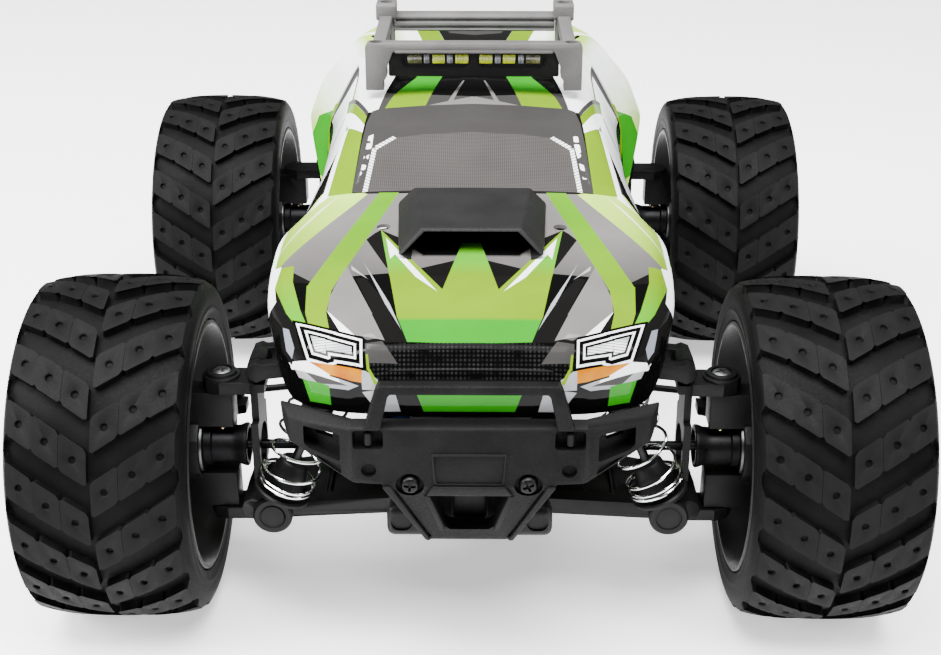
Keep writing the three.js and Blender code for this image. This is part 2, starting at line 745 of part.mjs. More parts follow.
function shockRod() {
  const eye = barY(SHOCK_FOOT, ...EYE_V, 4.4, CUP_SIDES);
  const rod = bar(onShock(18), onShock(SHOCK_LENGTH - 3), 1.6, PIN_SIDES);
  const cup = bar(onShock(CUP_AT), onShock(CUP_AT + 2.6), 8.2, CUP_SIDES);
  const eyeBore = barY(SHOCK_FOOT, EYE_V[0] - 1, EYE_V[1] + 1, EYE_BORE, BOSS_SIDES);
  return cut(join(eye, rod, cup), eyeBore);
}

// A helix round the damper, from the collar down to the lower cup.
class SpringCurve extends THREE.Curve {
  getPoint(share, target = new THREE.Vector3()) {
    const start = COLLAR_AT + SPRING_WIRE + GAP;
    const end = CUP_AT - SPRING_WIRE - GAP;
    const middle = new THREE.Vector3(...onShock(start + (end - start) * share));
    const across = new THREE.Vector3(-SHOCK_AXIS.z, 0, SHOCK_AXIS.x).normalize();
    const angle = share * SPRING_TURNS * 2 * Math.PI;
    middle.addScaledVector(across, SPRING_RADIUS * Math.cos(angle));
    middle.y += SPRING_RADIUS * Math.sin(angle);
    return target.copy(middle);
  }
}

function spring() {
  const corners = [[1, 0], [0, 1], [-1, 0], [0, -1]];
  const section = corners.map(([a, b]) => [a * SPRING_WIRE, b * SPRING_WIRE]);
  const steps = SPRING_TURNS * 8;
  const sweep = { extrudePath: new SpringCurve(), steps, bevelEnabled: false };
  return solid(new THREE.ExtrudeGeometry(shapeOf(section), sweep));
}

// ---------------------------------------------------------------- assembly
const truck = new THREE.Group();

function place(parent, name, body, material) {
  const mesh = new THREE.Mesh(geometryOf(body), material);
  mesh.name = name;
  parent.add(mesh);
}

const rearward = bulkheadGroup(1);
const forward = bulkheadGroup(-1);

// A group whose v axis runs towards one end of the truck, with v = 0 on that axle line.
function bulkheadGroup(end) {
  const group = new THREE.Group();
  group.position.set(0, end * HALF_BASE, 0);
  group.scale.set(1, end, 1);
  truck.add(group);
  return group;
}

place(truck, "chassis", chassisTub(), NYLON);
place(forward, "front_bulkhead", bulkhead(), NYLON);
place(rearward, "rear_bulkhead", rearBulkhead(), NYLON);
place(truck, "front_bumper", frontBumper(), TRIM_PLASTIC);
place(truck, "body_shell", bodyShell(), BODY_PAINT);
place(truck, "roof_rack", roofRack(), TRIM_PLASTIC);
place(truck, "hood_scoop", hoodScoop(), TRIM_PLASTIC);
place(truck, "battery_pack", batteryPack(), BATTERY_WRAP);
place(truck, "motor", motor(), DARK_STEEL);
place(truck, "motor_pinion", motorPinion(), DARK_STEEL);
place(truck, "centre_shaft", centreShaft(), DARK_STEEL);
place(forward, "front_diff", differential().translate([0, 0, AXLE_Z]), DARK_STEEL);
// The rear crown gear sits on the other side of its pinion, so both axles drive the same way.
place(rearward, "rear_diff", differential().rotate([0, 0, 180]).translate([0, 0, AXLE_Z]), DARK_STEEL);
place(truck, "steering_servo", steeringServo(), NYLON);
place(truck, "servo_horn", servoHorn(), NYLON);
place(truck, "steering_rack", steeringRack(), NYLON);
place(truck, "tie_rod_right", tieRod(1), DARK_STEEL);
place(truck, "tie_rod_left", tieRod(-1), DARK_STEEL);

const CORNER_PARTS = [
  ["tyre", tyre().translate([0, 0, AXLE_Z]), RUBBER],
  ["rim", rim().translate([0, 0, AXLE_Z]), RIM_PLASTIC],
  ["stub_axle", stubAxle(), DARK_STEEL],
  ["dogbone", dogbone(), DARK_STEEL],
  ["lower_arm", lowerArm(), NYLON],
  ["upper_arm", upperArm(), NYLON],
  ["shock_body", shockBody(), NYLON],
  ["shock_rod", shockRod(), DARK_STEEL],
  ["spring", spring(), SPRING_STEEL],
];
const FRONT_PARTS = [
  ["hub_bracket", frontHubBracket(), NYLON],
  ["steering_knuckle", steeringKnuckle(), NYLON],
];
const REAR_PARTS = [["rear_hub", rearHub(), NYLON]];

for (const [endName, end, endParts] of [["front", -1, FRONT_PARTS], ["rear", 1, REAR_PARTS]]) {
  for (const [sideName, side] of [["right", 1], ["left", -1]]) {
    const corner = new THREE.Group();
    corner.position.set(0, end * HALF_BASE, 0);
    corner.scale.set(side, end, 1);
    truck.add(corner);
    for (const [part, body, material] of [...CORNER_PARTS, ...endParts]) {
      const name = part === "rear_hub" ? `rear_hub_${sideName}` : `${part}_${endName}_${sideName}`;
      place(corner, name, body, material);
    }
  }
}

export default truck;
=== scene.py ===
"""Radio-controlled monster truck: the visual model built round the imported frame.

Shapes are drawn in millimetres in the frame of the part: +X right, -Y front, +Z up.
"""

import json
import math

import bmesh
import bpy
from mathutils import Matrix, Vector

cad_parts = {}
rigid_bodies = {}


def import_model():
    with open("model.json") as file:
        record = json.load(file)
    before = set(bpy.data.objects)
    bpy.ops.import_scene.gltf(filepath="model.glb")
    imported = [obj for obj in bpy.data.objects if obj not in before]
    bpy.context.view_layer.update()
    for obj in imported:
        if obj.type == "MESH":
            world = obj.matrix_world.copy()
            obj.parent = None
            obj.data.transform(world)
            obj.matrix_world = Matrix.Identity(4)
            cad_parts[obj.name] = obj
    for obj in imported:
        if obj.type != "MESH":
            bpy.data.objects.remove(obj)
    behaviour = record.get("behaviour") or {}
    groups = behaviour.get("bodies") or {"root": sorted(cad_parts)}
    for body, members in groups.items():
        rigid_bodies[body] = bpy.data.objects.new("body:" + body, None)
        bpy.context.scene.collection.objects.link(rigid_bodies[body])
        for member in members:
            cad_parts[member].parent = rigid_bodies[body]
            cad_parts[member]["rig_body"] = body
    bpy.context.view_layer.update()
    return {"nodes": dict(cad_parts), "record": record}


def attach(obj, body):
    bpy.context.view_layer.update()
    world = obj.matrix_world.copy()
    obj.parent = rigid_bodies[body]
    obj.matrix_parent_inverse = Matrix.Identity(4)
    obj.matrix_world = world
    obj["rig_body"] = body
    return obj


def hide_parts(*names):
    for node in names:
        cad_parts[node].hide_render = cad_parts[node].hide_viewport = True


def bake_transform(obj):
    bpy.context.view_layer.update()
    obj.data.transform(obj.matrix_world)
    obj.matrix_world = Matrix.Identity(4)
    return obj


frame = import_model()

MM = 0.001
FLAT = math.radians(1.5)  # faces closer in direction than this are one face
SHARP = math.radians(28)  # outer edges sharper than this are rounded
HALF_BASE = 110.0
WHEEL_X = 112.0
AXLE_Z = 56.0
CORNERS = [
    (f"{end}_{side}", y, x)
    for end, y in (("front", -1), ("rear", 1))
    for side, x in (("right", 1), ("left", -1))
]


# ------------------------------------------------------------------ mesh helpers
def new_object(name, mesh):
    obj = bpy.data.objects.new(name, mesh)
    bpy.context.scene.collection.objects.link(obj)
    return obj


def shade(mesh, sharp_degrees):
    mesh.polygons.foreach_set("use_smooth", [True] * len(mesh.polygons))
    mesh.set_sharp_from_angle(angle=math.radians(sharp_degrees))


def made(name, bm, material, body=None, hides=(), sharp=35):
    """Turns a bmesh in millimetres into a piece that rides on a body."""
    bmesh.ops.scale(bm, vec=(MM, MM, MM), verts=bm.verts)
    mesh = bpy.data.meshes.new(name)
    bm.to_mesh(mesh)
    bm.free()
    mesh.materials.append(material)
    shade(mesh, sharp)
    obj = new_object(name, mesh)
    if body:
        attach(obj, body)
    if hides:
        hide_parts(*hides)
    return obj


def ring(bm, points):
    return [bm.verts.new(p) for p in points]


def skin(bm, lower, upper, closed=True):
    """Quads between two rows of vertices of equal count."""
    count = len(lower)
    for i in range(count if closed else count - 1):
        j = (i + 1) % count
        corners = [lower[i], lower[j], upper[j], upper[i]]
        unique = list(dict.fromkeys(corners))
        if len(unique) > 2:
            bm.faces.new(unique)


def tidy(bm, merge=1e-4):
    bmesh.ops.remove_doubles(bm, verts=bm.verts, dist=merge)
    bmesh.ops.recalc_face_normals(bm, faces=bm.faces)
    return bm


def loft(rows):
    """A closed solid skinned over rings of points."""
    bm = bmesh.new()
    rings = [ring(bm, row) for row in rows]
    for a, b in zip(rings, rings[1:]):
        skin(bm, a, b)
    bm.faces.new(rings[0])
    bm.faces.new(rings[-1])
    return tidy(bm)


def prism(outline, low, high, axis="y"):
    """An outline pulled from low to high along an axis; the outline lists the other two axes in order."""
    place = {
        "x": lambda a, b, c: (c, a, b),
        "y": lambda a, b, c: (a, c, b),
        "z": lambda a, b, c: (a, b, c),
    }[axis]
    return loft([[place(a, b, level) for a, b in outline] for level in (low, high)])


def cuboid(x, y, z):
    return prism([(x[0], y[0]), (x[1], y[0]), (x[1], y[1]), (x[0], y[1])], z[0], z[1], "z")


def turned(profile, origin=(0, 0, 0), along=(1, 0, 0), sides=48):
    """A closed loop of (distance along the axis, radius) points spun about the axis."""
    bm = bmesh.new()
    rings = []
    for i in range(sides):
        a = 2 * math.pi * i / sides
        rings.append(ring(bm, [(d, -r * math.cos(a), r * math.sin(a)) for d, r in profile]))
    for i in range(sides):
        skin(bm, rings[i], rings[(i + 1) % sides])
    tidy(bm)
    turn = Vector((1, 0, 0)).rotation_difference(Vector(along)).to_matrix().to_4x4()
    bmesh.ops.transform(bm, matrix=Matrix.Translation(origin) @ turn, verts=bm.verts)
    return bm


def tube(path, radius, sides=10):
    """A round tube along a list of points, carried along without twist."""
    points = [Vector(p) for p in path]
    rows = []
    normal = None
    for i, p in enumerate(points):
        ahead = points[min(i + 1, len(points) - 1)] - points[max(i - 1, 0)]
        ahead.normalize()
        if normal is None:
            normal = ahead.orthogonal().normalized()
        normal = (normal - ahead * normal.dot(ahead)).normalized()
        other = ahead.cross(normal)
        turns = [2 * math.pi * k / sides for k in range(sides)]
        rows.append([p + (normal * math.cos(a) + other * math.sin(a)) * radius for a in turns])
    return loft(rows)


def joined(*parts):
    """Several bmeshes as one."""
    whole = bmesh.new()
    for part in parts:
        mesh = bpy.data.meshes.new("part")
        part.to_mesh(mesh)
        part.free()
        whole.from_mesh(mesh)
        bpy.data.meshes.remove(mesh)
    return whole


def temporary(bm):
    mesh = bpy.data.meshes.new("temporary")
    bm.to_mesh(mesh)
    bm.free()
    return new_object("temporary", mesh)


def cut(base, *tools):
    """A bmesh with the tools cut away."""
    target = temporary(base)
    cutters = [temporary(tool) for tool in tools]
    for cutter in cutters:
        modifier = target.modifiers.new("cut", "BOOLEAN")
        modifier.object = cutter
        modifier.operation = "DIFFERENCE"
        modifier.solver = "EXACT"
    bpy.context.view_layer.update()
    evaluated = target.evaluated_get(bpy.context.evaluated_depsgraph_get())
    result = bmesh.new()
    result.from_mesh(evaluated.to_mesh())
    evaluated.to_mesh_clear()
    for obj in [target, *cutters]:
        mesh = obj.data
        bpy.data.objects.remove(obj)
        bpy.data.meshes.remove(mesh)
    return result


def softened(bm, width, segments=2):
    """Rounds every sharp outer edge."""
    bmesh.ops.remove_doubles(bm, verts=bm.verts, dist=0.01)
    bmesh.ops.dissolve_limit(bm, angle_limit=FLAT, verts=bm.verts, edges=bm.edges)
    outer = [e for e in bm.edges if e.is_manifold and e.is_convex]
    sharp = [e for e in outer if e.calc_face_angle(0) > SHARP]
    bmesh.ops.bevel(bm, geom=sharp, offset=width, segments=segments, profile=0.5, affect="EDGES",
                    clamp_overlap=True)
    return bm


def mirror_x(points):
    """A half outline from the middle plane, closed with its mirror image."""
    return list(points) + [(-a, b) for a, b in reversed(points) if abs(a) > 1e-6]


def across(side, inner, outer):
    """The x span between two distances from the middle plane, on one side of it."""
    return tuple(sorted((side * inner, side * outer)))


def on_side(side, *points):
    """An outline given for the right side, moved to one side of the middle plane."""
    return [(side * x, other) for x, other in points]


def blend_points(a, b, share):
    return tuple(u + (v - u) * share for u, v in zip(a, b))


def rounded_path(points, shares, steps):
    """A chain of points (tuples of any length) with its corners turned into smooth bends.

    A share is how much of the half segment on each side of a point its bend takes up.
    """
    vectors = [tuple(map(float, p)) for p in points]
    out = [vectors[0]]
    for i in range(1, len(vectors) - 1):
        before, here, after = vectors[i - 1 : i + 2]
        a = blend_points(here, before, 0.5 * shares[i])
        b = blend_points(here, after, 0.5 * shares[i])
        for k in range(steps + 1):
            t = k / steps
            out.append(blend_points(blend_points(a, here, t), blend_points(here, b, t), t))
    out.append(vectors[-1])
    return out


# ------------------------------------------------------------------ materials
class Nodes:
    """Short names for building one material's node tree."""

    def __init__(self, name, **shader):
        self.material = bpy.data.materials.new(name)
        self.material.use_nodes = True
        self.tree = self.material.node_tree
        self.tree.nodes.clear()
        self.shader = self.add("ShaderNodeBsdfPrincipled")
        out = self.add("ShaderNodeOutputMaterial")
        self.tree.links.new(self.shader.outputs[0], out.inputs[0])
        self.position = self.add("ShaderNodeTexCoord").outputs["Object"]
        self.feed(**shader)

    def add(self, kind, **settings):
        node = self.tree.nodes.new(kind)
        for key, value in settings.items():
            setattr(node, key, value)
        return node

    def put(self, socket, value):
        if isinstance(value, bpy.types.NodeSocket):
            self.tree.links.new(value, socket)
        elif isinstance(value, tuple) and socket.type == "RGBA":
            socket.default_value = (*value[:3], 1.0)
        else:
            socket.default_value = value

    def feed(self, **values):
        """Links or sets the shader's inputs; an underscore in a name stands for a space."""
        for key, value in values.items():
            self.put(self.shader.inputs[key.replace("_", " ")], value)

    def axes(self):
        split = self.add("ShaderNodeSeparateXYZ")
        self.put(split.inputs[0], self.position)
        return split.outputs

    def math(self, operation, a, b=0.0, c=0.0):
        node = self.add("ShaderNodeMath", operation=operation)
        for socket, value in zip(node.inputs, (a, b, c)):
            self.put(socket, value)
        return node.outputs[0]

    def noise(self, scale, detail=2.0, rough=0.5):
        node = self.add("ShaderNodeTexNoise")
        self.put(node.inputs["Vector"], self.position)
        node.inputs["Scale"].default_value = scale
        node.inputs["Detail"].default_value = detail
        node.inputs["Roughness"].default_value = rough
        return node.outputs[0]

    def cells(self, scale):
        node = self.add("ShaderNodeTexVoronoi")
        self.put(node.inputs["Vector"], self.position)
        node.inputs["Scale"].default_value = scale
        return node.outputs["Distance"]

    def span(self, value, low, high, out_low=0.0, out_high=1.0):
        """A value stretched from one range to another and clamped to it."""
        node = self.add("ShaderNodeMapRange", clamp=True)
        for socket, number in zip(node.inputs, (value, low, high, out_low, out_high)):
            self.put(socket, number)
        return node.outputs[0]

    def mix(self, factor, a, b):
        node = self.add("ShaderNodeMix", data_type="RGBA")
        self.put(node.inputs[0], factor)
        self.put(node.inputs[6], a)
        self.put(node.inputs[7], b)
        return node.outputs[2]

    def bump(self, height, distance):
        node = self.add("ShaderNodeBump")
        node.inputs["Strength"].default_value = 1.0
        node.inputs["Distance"].default_value = distance
        self.put(node.inputs["Height"], height)
        return node.outputs[0]

    def edges(self):
        """1 along convex edges, where handling wears a surface."""
        return self.span(self.add("ShaderNodeNewGeometry").outputs["Pointiness"], 0.53, 0.6)


def grained(name, dark, light, rough, grain, depth, wear, **shader):
    """Moulded plastic or rubber: fine grain, cloudy shade and slightly paler worn edges."""
    n = Nodes(name, **shader)
    cloud = n.noise(70.0, 3.0)
    speck = n.noise(grain, 2.0, 0.6)
    colour = n.mix(n.span(cloud, 0.35, 0.65), dark, light)
    n.feed(Base_Color=n.mix(n.math("MULTIPLY", n.edges(), 0.6), colour, wear))
    n.feed(Roughness=n.span(speck, 0.3, 0.7, rough - 0.07, rough + 0.07))
    n.feed(Normal=n.bump(speck, depth))
    return n.material


def metal(name, colour, rough):
    """Turned or drawn metal: faint scratches and handling marks in the gloss."""
    n = Nodes(name, Metallic=1.0)
    marks = n.noise(900.0, 4.0, 0.65)
    tint = tuple(c * 0.82 for c in colour)
    n.feed(Base_Color=n.mix(n.noise(120.0), tint, colour))
    n.feed(Roughness=n.span(marks, 0.3, 0.75, rough * 0.8, rough * 1.3))
    n.feed(Normal=n.bump(marks, 0.00002))
    return n.material


RUBBER = grained("tyre_rubber", (0.0015, 0.0015, 0.0016), (0.0029, 0.0029, 0.0031), 0.58, 1300.0, 0.00006,
                 (0.005, 0.005, 0.005), Specular_IOR_Level=0.045)
NYLON = grained("black_nylon", (0.0016, 0.0016, 0.0017), (0.003, 0.003, 0.0032), 0.45, 1700.0, 0.00005,
                (0.008, 0.008, 0.0084), Specular_IOR_Level=0.1)
RIM_PLASTIC = grained("rim_plastic", (0.004, 0.004, 0.0042), (0.007, 0.007, 0.0074), 0.42, 1100.0, 0.00003,
                      (0.014, 0.014, 0.0145), Specular_IOR_Level=0.16)
TRIM = grained("trim_plastic", (0.0035, 0.0033, 0.0035), (0.0062, 0.0058, 0.0061), 0.62, 1500.0, 0.00014,
               (0.02, 0.0195, 0.02), Specular_IOR_Level=0.15)
BUMPER_PLASTIC = grained("bumper_plastic", (0.0014, 0.0013, 0.0014), (0.0038, 0.0036, 0.0038), 0.6, 1300.0,
                         0.0002, (0.01, 0.0096, 0.01), Specular_IOR_Level=0.06)
RACK_PLASTIC = grained("rack_plastic", (0.054, 0.052, 0.051), (0.08, 0.077, 0.076), 0.6, 1500.0, 0.00014,
                       (0.1, 0.097, 0.095), Specular_IOR_Level=0.2)
DARK_STEEL = metal("blackened_steel", (0.06, 0.06, 0.062), 0.34)
BLACK_STEEL = metal("blackened_axle", (0.018, 0.018, 0.019), 0.42)
SCREW_STEEL = metal("screw_steel", (0.012, 0.012, 0.0125), 0.36)
KINGPIN_STEEL = metal("kingpin_steel", (0.2, 0.2, 0.205), 0.38)
CHROME = metal("plated_wire", (0.75, 0.75, 0.75), 0.14)
BRASS = metal("turned_brass", (0.62, 0.5, 0.26), 0.28)


def battery_wrap():
    """Heat-shrink film over the cells: blue, with a pale printed band and soft wrinkles."""
    n = Nodes("battery_wrap", Roughness=0.32, Coat_Weight=0.3)
    band = n.math("COMPARE", n.axes()[1], -0.022, 0.011)
    cloud = n.mix(n.noise(60.0, 3.0), (0.006, 0.02, 0.09), (0.01, 0.035, 0.14))
    n.feed(Base_Color=n.mix(band, cloud, (0.3, 0.31, 0.32)))
    n.feed(Normal=n.bump(n.noise(85.0, 3.0), 0.0004))
    return n.material


def motor_can():
    """Rolled steel can, dulled by handling, with a darker end band."""
    n = Nodes("motor_can", Metallic=1.0)
    end = n.span(n.axes()[1], 0.0595, 0.06)
    steel = n.mix(n.noise(140.0, 4.0), (0.32, 0.32, 0.33), (0.5, 0.5, 0.51))
    n.feed(Base_Color=n.mix(end, steel, (0.02, 0.02, 0.021)))
    n.feed(Roughness=n.span(n.noise(700.0, 5.0), 0.3, 0.7, 0.25, 0.42))
    return n.material


BATTERY_WRAP = battery_wrap()
MOTOR_CAN = motor_can()


# ------------------------------------------------------------------ wheels
TYRE_R = 56.0
CHEVRONS = 18
PITCH = 2 * math.pi * TYRE_R / CHEVRONS
CHEVRON_SLOPE = math.tan(math.radians(33))
BLOCK_ROWS = (4.6, 12.9, 21.0)  # distance of each block's middle from the middle of the tread
BLOCK_HALVES = (3.6, 5.1)  # half a block's size across the tyre and round it
TREAD_DEPTH = 3.0
NOTCH_START, NOTCH_REACH, NOTCH_HALF = 22.6, 3.3, 4.7  # the shoulder notches at the channels' ends
COLUMNS_PER_CHEVRON = 20
BEAD_R = 39.15


def tread_top(s):
    return TYRE_R - 2.4 * (abs(s) / 25) ** 3


def on_tyre(s, t, r):
    """s across the tyre, t round it measured on the full radius, r from the axle."""
    a = t / TYRE_R
    return (s, -r * math.cos(a), r * math.sin(a))


def stagger(s):
    return 0.0 if s > 0 else PITCH / 2


def tread_block(bm, side, row, t0, half_wide, half_long):
    """One tread block: a sheared box with bevelled edges and a moulded dimple."""
    w, h, c = half_wide, half_long, 0.9
    outline = [
        (w, -h + c), (w, -h / 3), (w, h / 3), (w, h - c),
        (w - c, h), (w / 3, h), (-w / 3, h), (c - w, h),
        (-w, h - c), (-w, h / 3), (-w, -h / 3), (-w, -h + c),
        (c - w, -h), (-w / 3, -h), (w / 3, -h), (w - c, -h),
    ]

    def level(grow, drop):
        points = []
        for a, b in outline:
            da = a + math.copysign(grow, a) * (abs(a) > w / 2)
            db = b + math.copysign(grow, b) * (abs(b) > h / 2)
            s = row + da
            points.append(on_tyre(side * s, t0 + s * CHEVRON_SLOPE + db, tread_top(s) - drop))
        return points

    def dimple(radius, drop):
        points = []
        for a, b in outline:
            turn = math.atan2(b + a * CHEVRON_SLOPE, a)
            s = row + radius * math.cos(turn)
            t = t0 + row * CHEVRON_SLOPE + radius * math.sin(turn)
            points.append(on_tyre(side * s, t, tread_top(s) - drop))
        return points

    rows = [level(0.5, TREAD_DEPTH + 0.5), level(0.05, 0.5), level(-0.16, 0.13), level(-0.5, 0.0)]
    rows += [dimple(1.45, 0.0), dimple(1.15, 0.22), dimple(0.95, 1.0)]
    rings = [ring(bm, points) for points in rows]
    for a, b in zip(rings, rings[1:]):
        skin(bm, a, b)
    bm.faces.new(rings[0])
    bm.faces.new(rings[-1])


def shoulder_radius(s, t):
    """Radius of the carcass near its shoulder, with a rounded notch where each channel runs out."""
    solid_at = ((23.4, 50.9), (24, 53.3), (24.6, 53.4), (25.2, 53.1), (25.7, 52.5), (26.2, 51.6),
                (26.6, 50.6), (26.9, 49.3), (27, 48))
    width = abs(s)
    floor = tread_top(width) - TREAD_DEPTH
    if width <= solid_at[0][0]:
        return floor
    for (s0, r0), (s1, r1) in zip(solid_at, solid_at[1:]):
        if width <= s1 + 1e-6:
            solid = r0 + (r1 - r0) * (width - s0) / (s1 - s0)
            break
    reach = max(0.0, 1 - ((width - NOTCH_START) / NOTCH_REACH) ** 2)
    half_wide = NOTCH_HALF * math.sqrt(reach)
    middle = stagger(s) + PITCH / 2 + width * CHEVRON_SLOPE
    off = (t - middle + PITCH / 2) % PITCH - PITCH / 2
    inside = min(1.0, max(0.0, (half_wide - abs(off)) / 0.9 + 0.5))
    inside = inside * inside * (3 - 2 * inside)
    return solid + (min(solid, floor) - solid) * inside


def carcass(bm):
    """The tyre under its blocks: tread floor, notched shoulders, sidewalls and bead."""
    shoulder = [22.4, 23.1, 23.4, 23.7, 24.0, 24.3, 24.6, 24.9, 25.2, 25.45, 25.7, 25.95, 26.2, 26.4,
                26.6, 26.75, 26.9, 27.0]
    tread = [-s for s in reversed(shoulder)] + [-15.0, -8.0, 0.0, 8.0, 15.0] + shoulder
    wall = [(26.95, 46.8), (26.8, 45.6), (26.95, 45.1), (26.95, 44.5), (26.7, 44.1), (26.5, 42.8),
            (26.3, 41.7), (25.6, 41.2), (22.0, 41.1)]
    columns = CHEVRONS * COLUMNS_PER_CHEVRON
    rings = []
    for i in range(columns):
        t = 2 * math.pi * TYRE_R * i / columns
        points = [on_tyre(-s, t, r) for s, r in reversed(wall)]
        points += [on_tyre(s, t, shoulder_radius(s, t)) for s in tread]
        points += [on_tyre(s, t, r) for s, r in wall]
        rings.append(ring(bm, points))
    for i in range(columns):
        skin(bm, rings[i], rings[(i + 1) % columns])


def wheel_mesh(name, bm, side, material, sharp):
    """The mesh that both wheels of one side share; the left one is the right one's mirror image."""
    if side < 0:
        bmesh.ops.scale(bm, vec=(-1, 1, 1), verts=bm.verts)
    bmesh.ops.recalc_face_normals(bm, faces=bm.faces)
    bmesh.ops.scale(bm, vec=(MM, MM, MM), verts=bm.verts)
    mesh = bpy.data.meshes.new(name)
    bm.to_mesh(mesh)
    bm.free()
    mesh.materials.append(material)
    shade(mesh, sharp)
    return mesh


def tyre_mesh(side):
    bm = bmesh.new()
    carcass(bm)
    for k in range(CHEVRONS):
        for row in BLOCK_ROWS:
            for half in (1, -1):
                tread_block(bm, half, row, k * PITCH + stagger(half), *BLOCK_HALVES)
    return wheel_mesh("chevron_tyre", bm, side, RUBBER, 40)


def wheel_part(mesh, corner, end, side, slot):
    name = mesh.name.split(".")[0]
    obj = new_object(f"{name}_{corner}", mesh)
    obj.location = Vector((side * WHEEL_X, end * HALF_BASE, AXLE_Z)) * MM
    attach(obj, f"wheel_{corner}")
    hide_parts(f"{slot}_{corner}")


def spoke(turn):
    """A raised outer spoke with its window, and the rib behind it."""
    outline = [(9, -4.4), (29.6, -7.4), (32.2, -6), (32.2, 6), (29.6, 7.4), (9, 4.4)]
    outer = softened(prism(outline, -7.5, -3.2, "x"), 0.8)
    window = softened(prism([(14, -1.6), (27.5, -4.2), (27.5, 4.2), (14, 1.6)], -5.4, -2, "x"), 0.5)
    rib = softened(prism([(-10.5, 9), (-12.5, 12), (-16.5, 33.5), (-10.5, 31)], -0.8, 0.8, "y"), 0.3)
    bmesh.ops.transform(rib, matrix=Matrix.Rotation(math.pi / 2, 4, "X"), verts=rib.verts)
    whole = joined(cut(outer, window), rib)
    bmesh.ops.transform(whole, matrix=Matrix.Rotation(turn, 4, "X"), verts=whole.verts)
    return whole


def bead_bolt(turn):
    outline = [(24, 0.01), (24, 1.5), (26.4, 1.5), (26.8, 1.1), (26.8, 0.6), (26.2, 0.5), (26.2, 0.01)]
    return turned(outline, (0, BEAD_R * math.cos(turn), BEAD_R * math.sin(turn)), sides=12)


def rim_mesh(side):
    """Deep rim: a coned inside with ribs, a web, and raised spokes and bolts on the outer face."""
    barrel = turned([
        (-26.2, 40.9), (-26.6, 40.3), (-26.6, 39.6), (-26.0, 39.0), (-21.0, 37.8), (-12.5, 32.0),
        (-10.4, 29.0), (-10.0, 12.0), (-10.6, 9.0), (-10.0, 3.2), (-6.4, 3.2), (-6.0, 9.4),
        (-6.6, 10.4), (-6.4, 28.0), (-4.0, 30.6), (0.0, 33.2), (9.0, 36.2), (23.5, 38.2), (24.4, 37.4),
        (26.0, 37.4), (26.6, 38.2), (26.7, 40.0), (26.2, 40.9), (24.6, 40.9), (24.6, 40.2),
        (-24.6, 40.2), (-24.6, 40.9),
    ], sides=96)
    spokes = [spoke(k * math.pi / 3 + 0.2) for k in range(6)]
    bolts = [bead_bolt(k * math.pi / 6 + 0.1) for k in range(12)]
    return wheel_mesh("deep_rim", joined(barrel, *spokes, *bolts), side, RIM_PLASTIC, 32)


def wheels():
    for side in (1, -1):
        tyre, rim = tyre_mesh(side), rim_mesh(side)
        for corner, end, corner_side in CORNERS:
            if corner_side == side:
                wheel_part(tyre, corner, end, side, "tyre")
                wheel_part(rim, corner, end, side, "rim")


wheels()


# ------------------------------------------------------------------ painted body shell
# y, how softly the section is blended into its neighbours, then x, z from the roof centre to the lower edge.
SHELL = [
    (-170.2, 0.0, (0, 112.5), (24, 112), (28, 108.5), (29.4, 104), (28, 98)),
    (-167.5, 0.9, (0, 118.6), (27.5, 117.6), (34.5, 112), (37.5, 105), (36, 97)),
    (-160.0, 1.0, (0, 120.4), (30, 119.6), (46, 114.6), (49.5, 106), (48, 95.5)),
    (-150.0, 1.0, (0, 121.4), (36, 120.6), (51.5, 116.6), (56, 108), (54, 94)),
    (-128.0, 1.0, (0, 123), (36, 122.3), (56.6, 119.4), (62.3, 112), (61, 101)),
    (-108.0, 1.0, (0, 124), (35, 123.4), (57.5, 122.2), (63.4, 117), (62.8, 108)),
    (-88.0, 1.0, (0, 125.4), (34, 125), (56.6, 124.6), (63, 120), (62.6, 106)),
    (-62.0, 0.25, (0, 128), (41, 126.4), (51, 125), (60, 114), (58.5, 90)),
    (-15.0, 0.55, (0, 145), (38, 143), (44.5, 138.4), (58.3, 112), (60.3, 72)),
    (5.0, 0.8, (0, 147.2), (40, 145.7), (45.4, 140.2), (58.3, 112), (60.3, 70)),
    (55.0, 0.8, (0, 147.5), (40, 146), (46, 140), (59, 114), (61, 72)),
    (78.0, 0.7, (0, 147.2), (42, 145.7), (50, 140.4), (64.3, 118.3), (69.2, 100)),
    (104.0, 0.8, (0, 145.8), (44, 143.8), (53.4, 139.6), (68, 122.4), (73.6, 109)),
    (135.0, 0.8, (0, 143.3), (42, 141.4), (50.6, 136.5), (65.6, 120.5), (70.8, 106)),
    (162.0, 0.9, (0, 136.5), (38, 134.5), (45.5, 128.5), (58.6, 112.5), (62.3, 99)),
    (178.6, 0.0, (0, 119), (33, 118), (41, 112), (50, 104), (54, 95)),
]
SECTION_SHARES = (0.0, 0.8, 0.42, 0.55, 0.5, 0.0)
SHELL_WALL = 1.2
POST_HOLES = [(28.4, -90.6), (36.0, 118.0)]


def shell_rows():
    """The outer skin as rows of points, each from the left lower edge over the roof to the right one."""
    stations = [(y, *[number for point in half for number in point]) for y, _, *half in SHELL]
    rows = []
    for y, *flat in rounded_path(stations, [row[1] for row in SHELL], 6):
        half = [(flat[i], flat[i + 1]) for i in range(0, len(flat), 2)]
        crown = (half[1][0] * 0.5, half[0][1] * 0.35 + half[1][1] * 0.65 + 0.25)
        line = rounded_path([half[0], crown, *half[1:]], SECTION_SHARES, 5)
        rows.append([(-x, y, z) for x, z in reversed(line[1:])] + [(x, y, z) for x, z in line])
    return rows


def end_cap(row, outwards, steps):
    """Rows that close one end of the shell: a tight bend, then a nearly flat face."""
    foot = min(p[2] for p in row)
    y = row[0][1]
    out = []
    for share, push in steps:
        out.append([(x * (1 - share), y + outwards * push, foot + (z - foot) * (1 - share)) for x, _,
                    z in row])
    return out


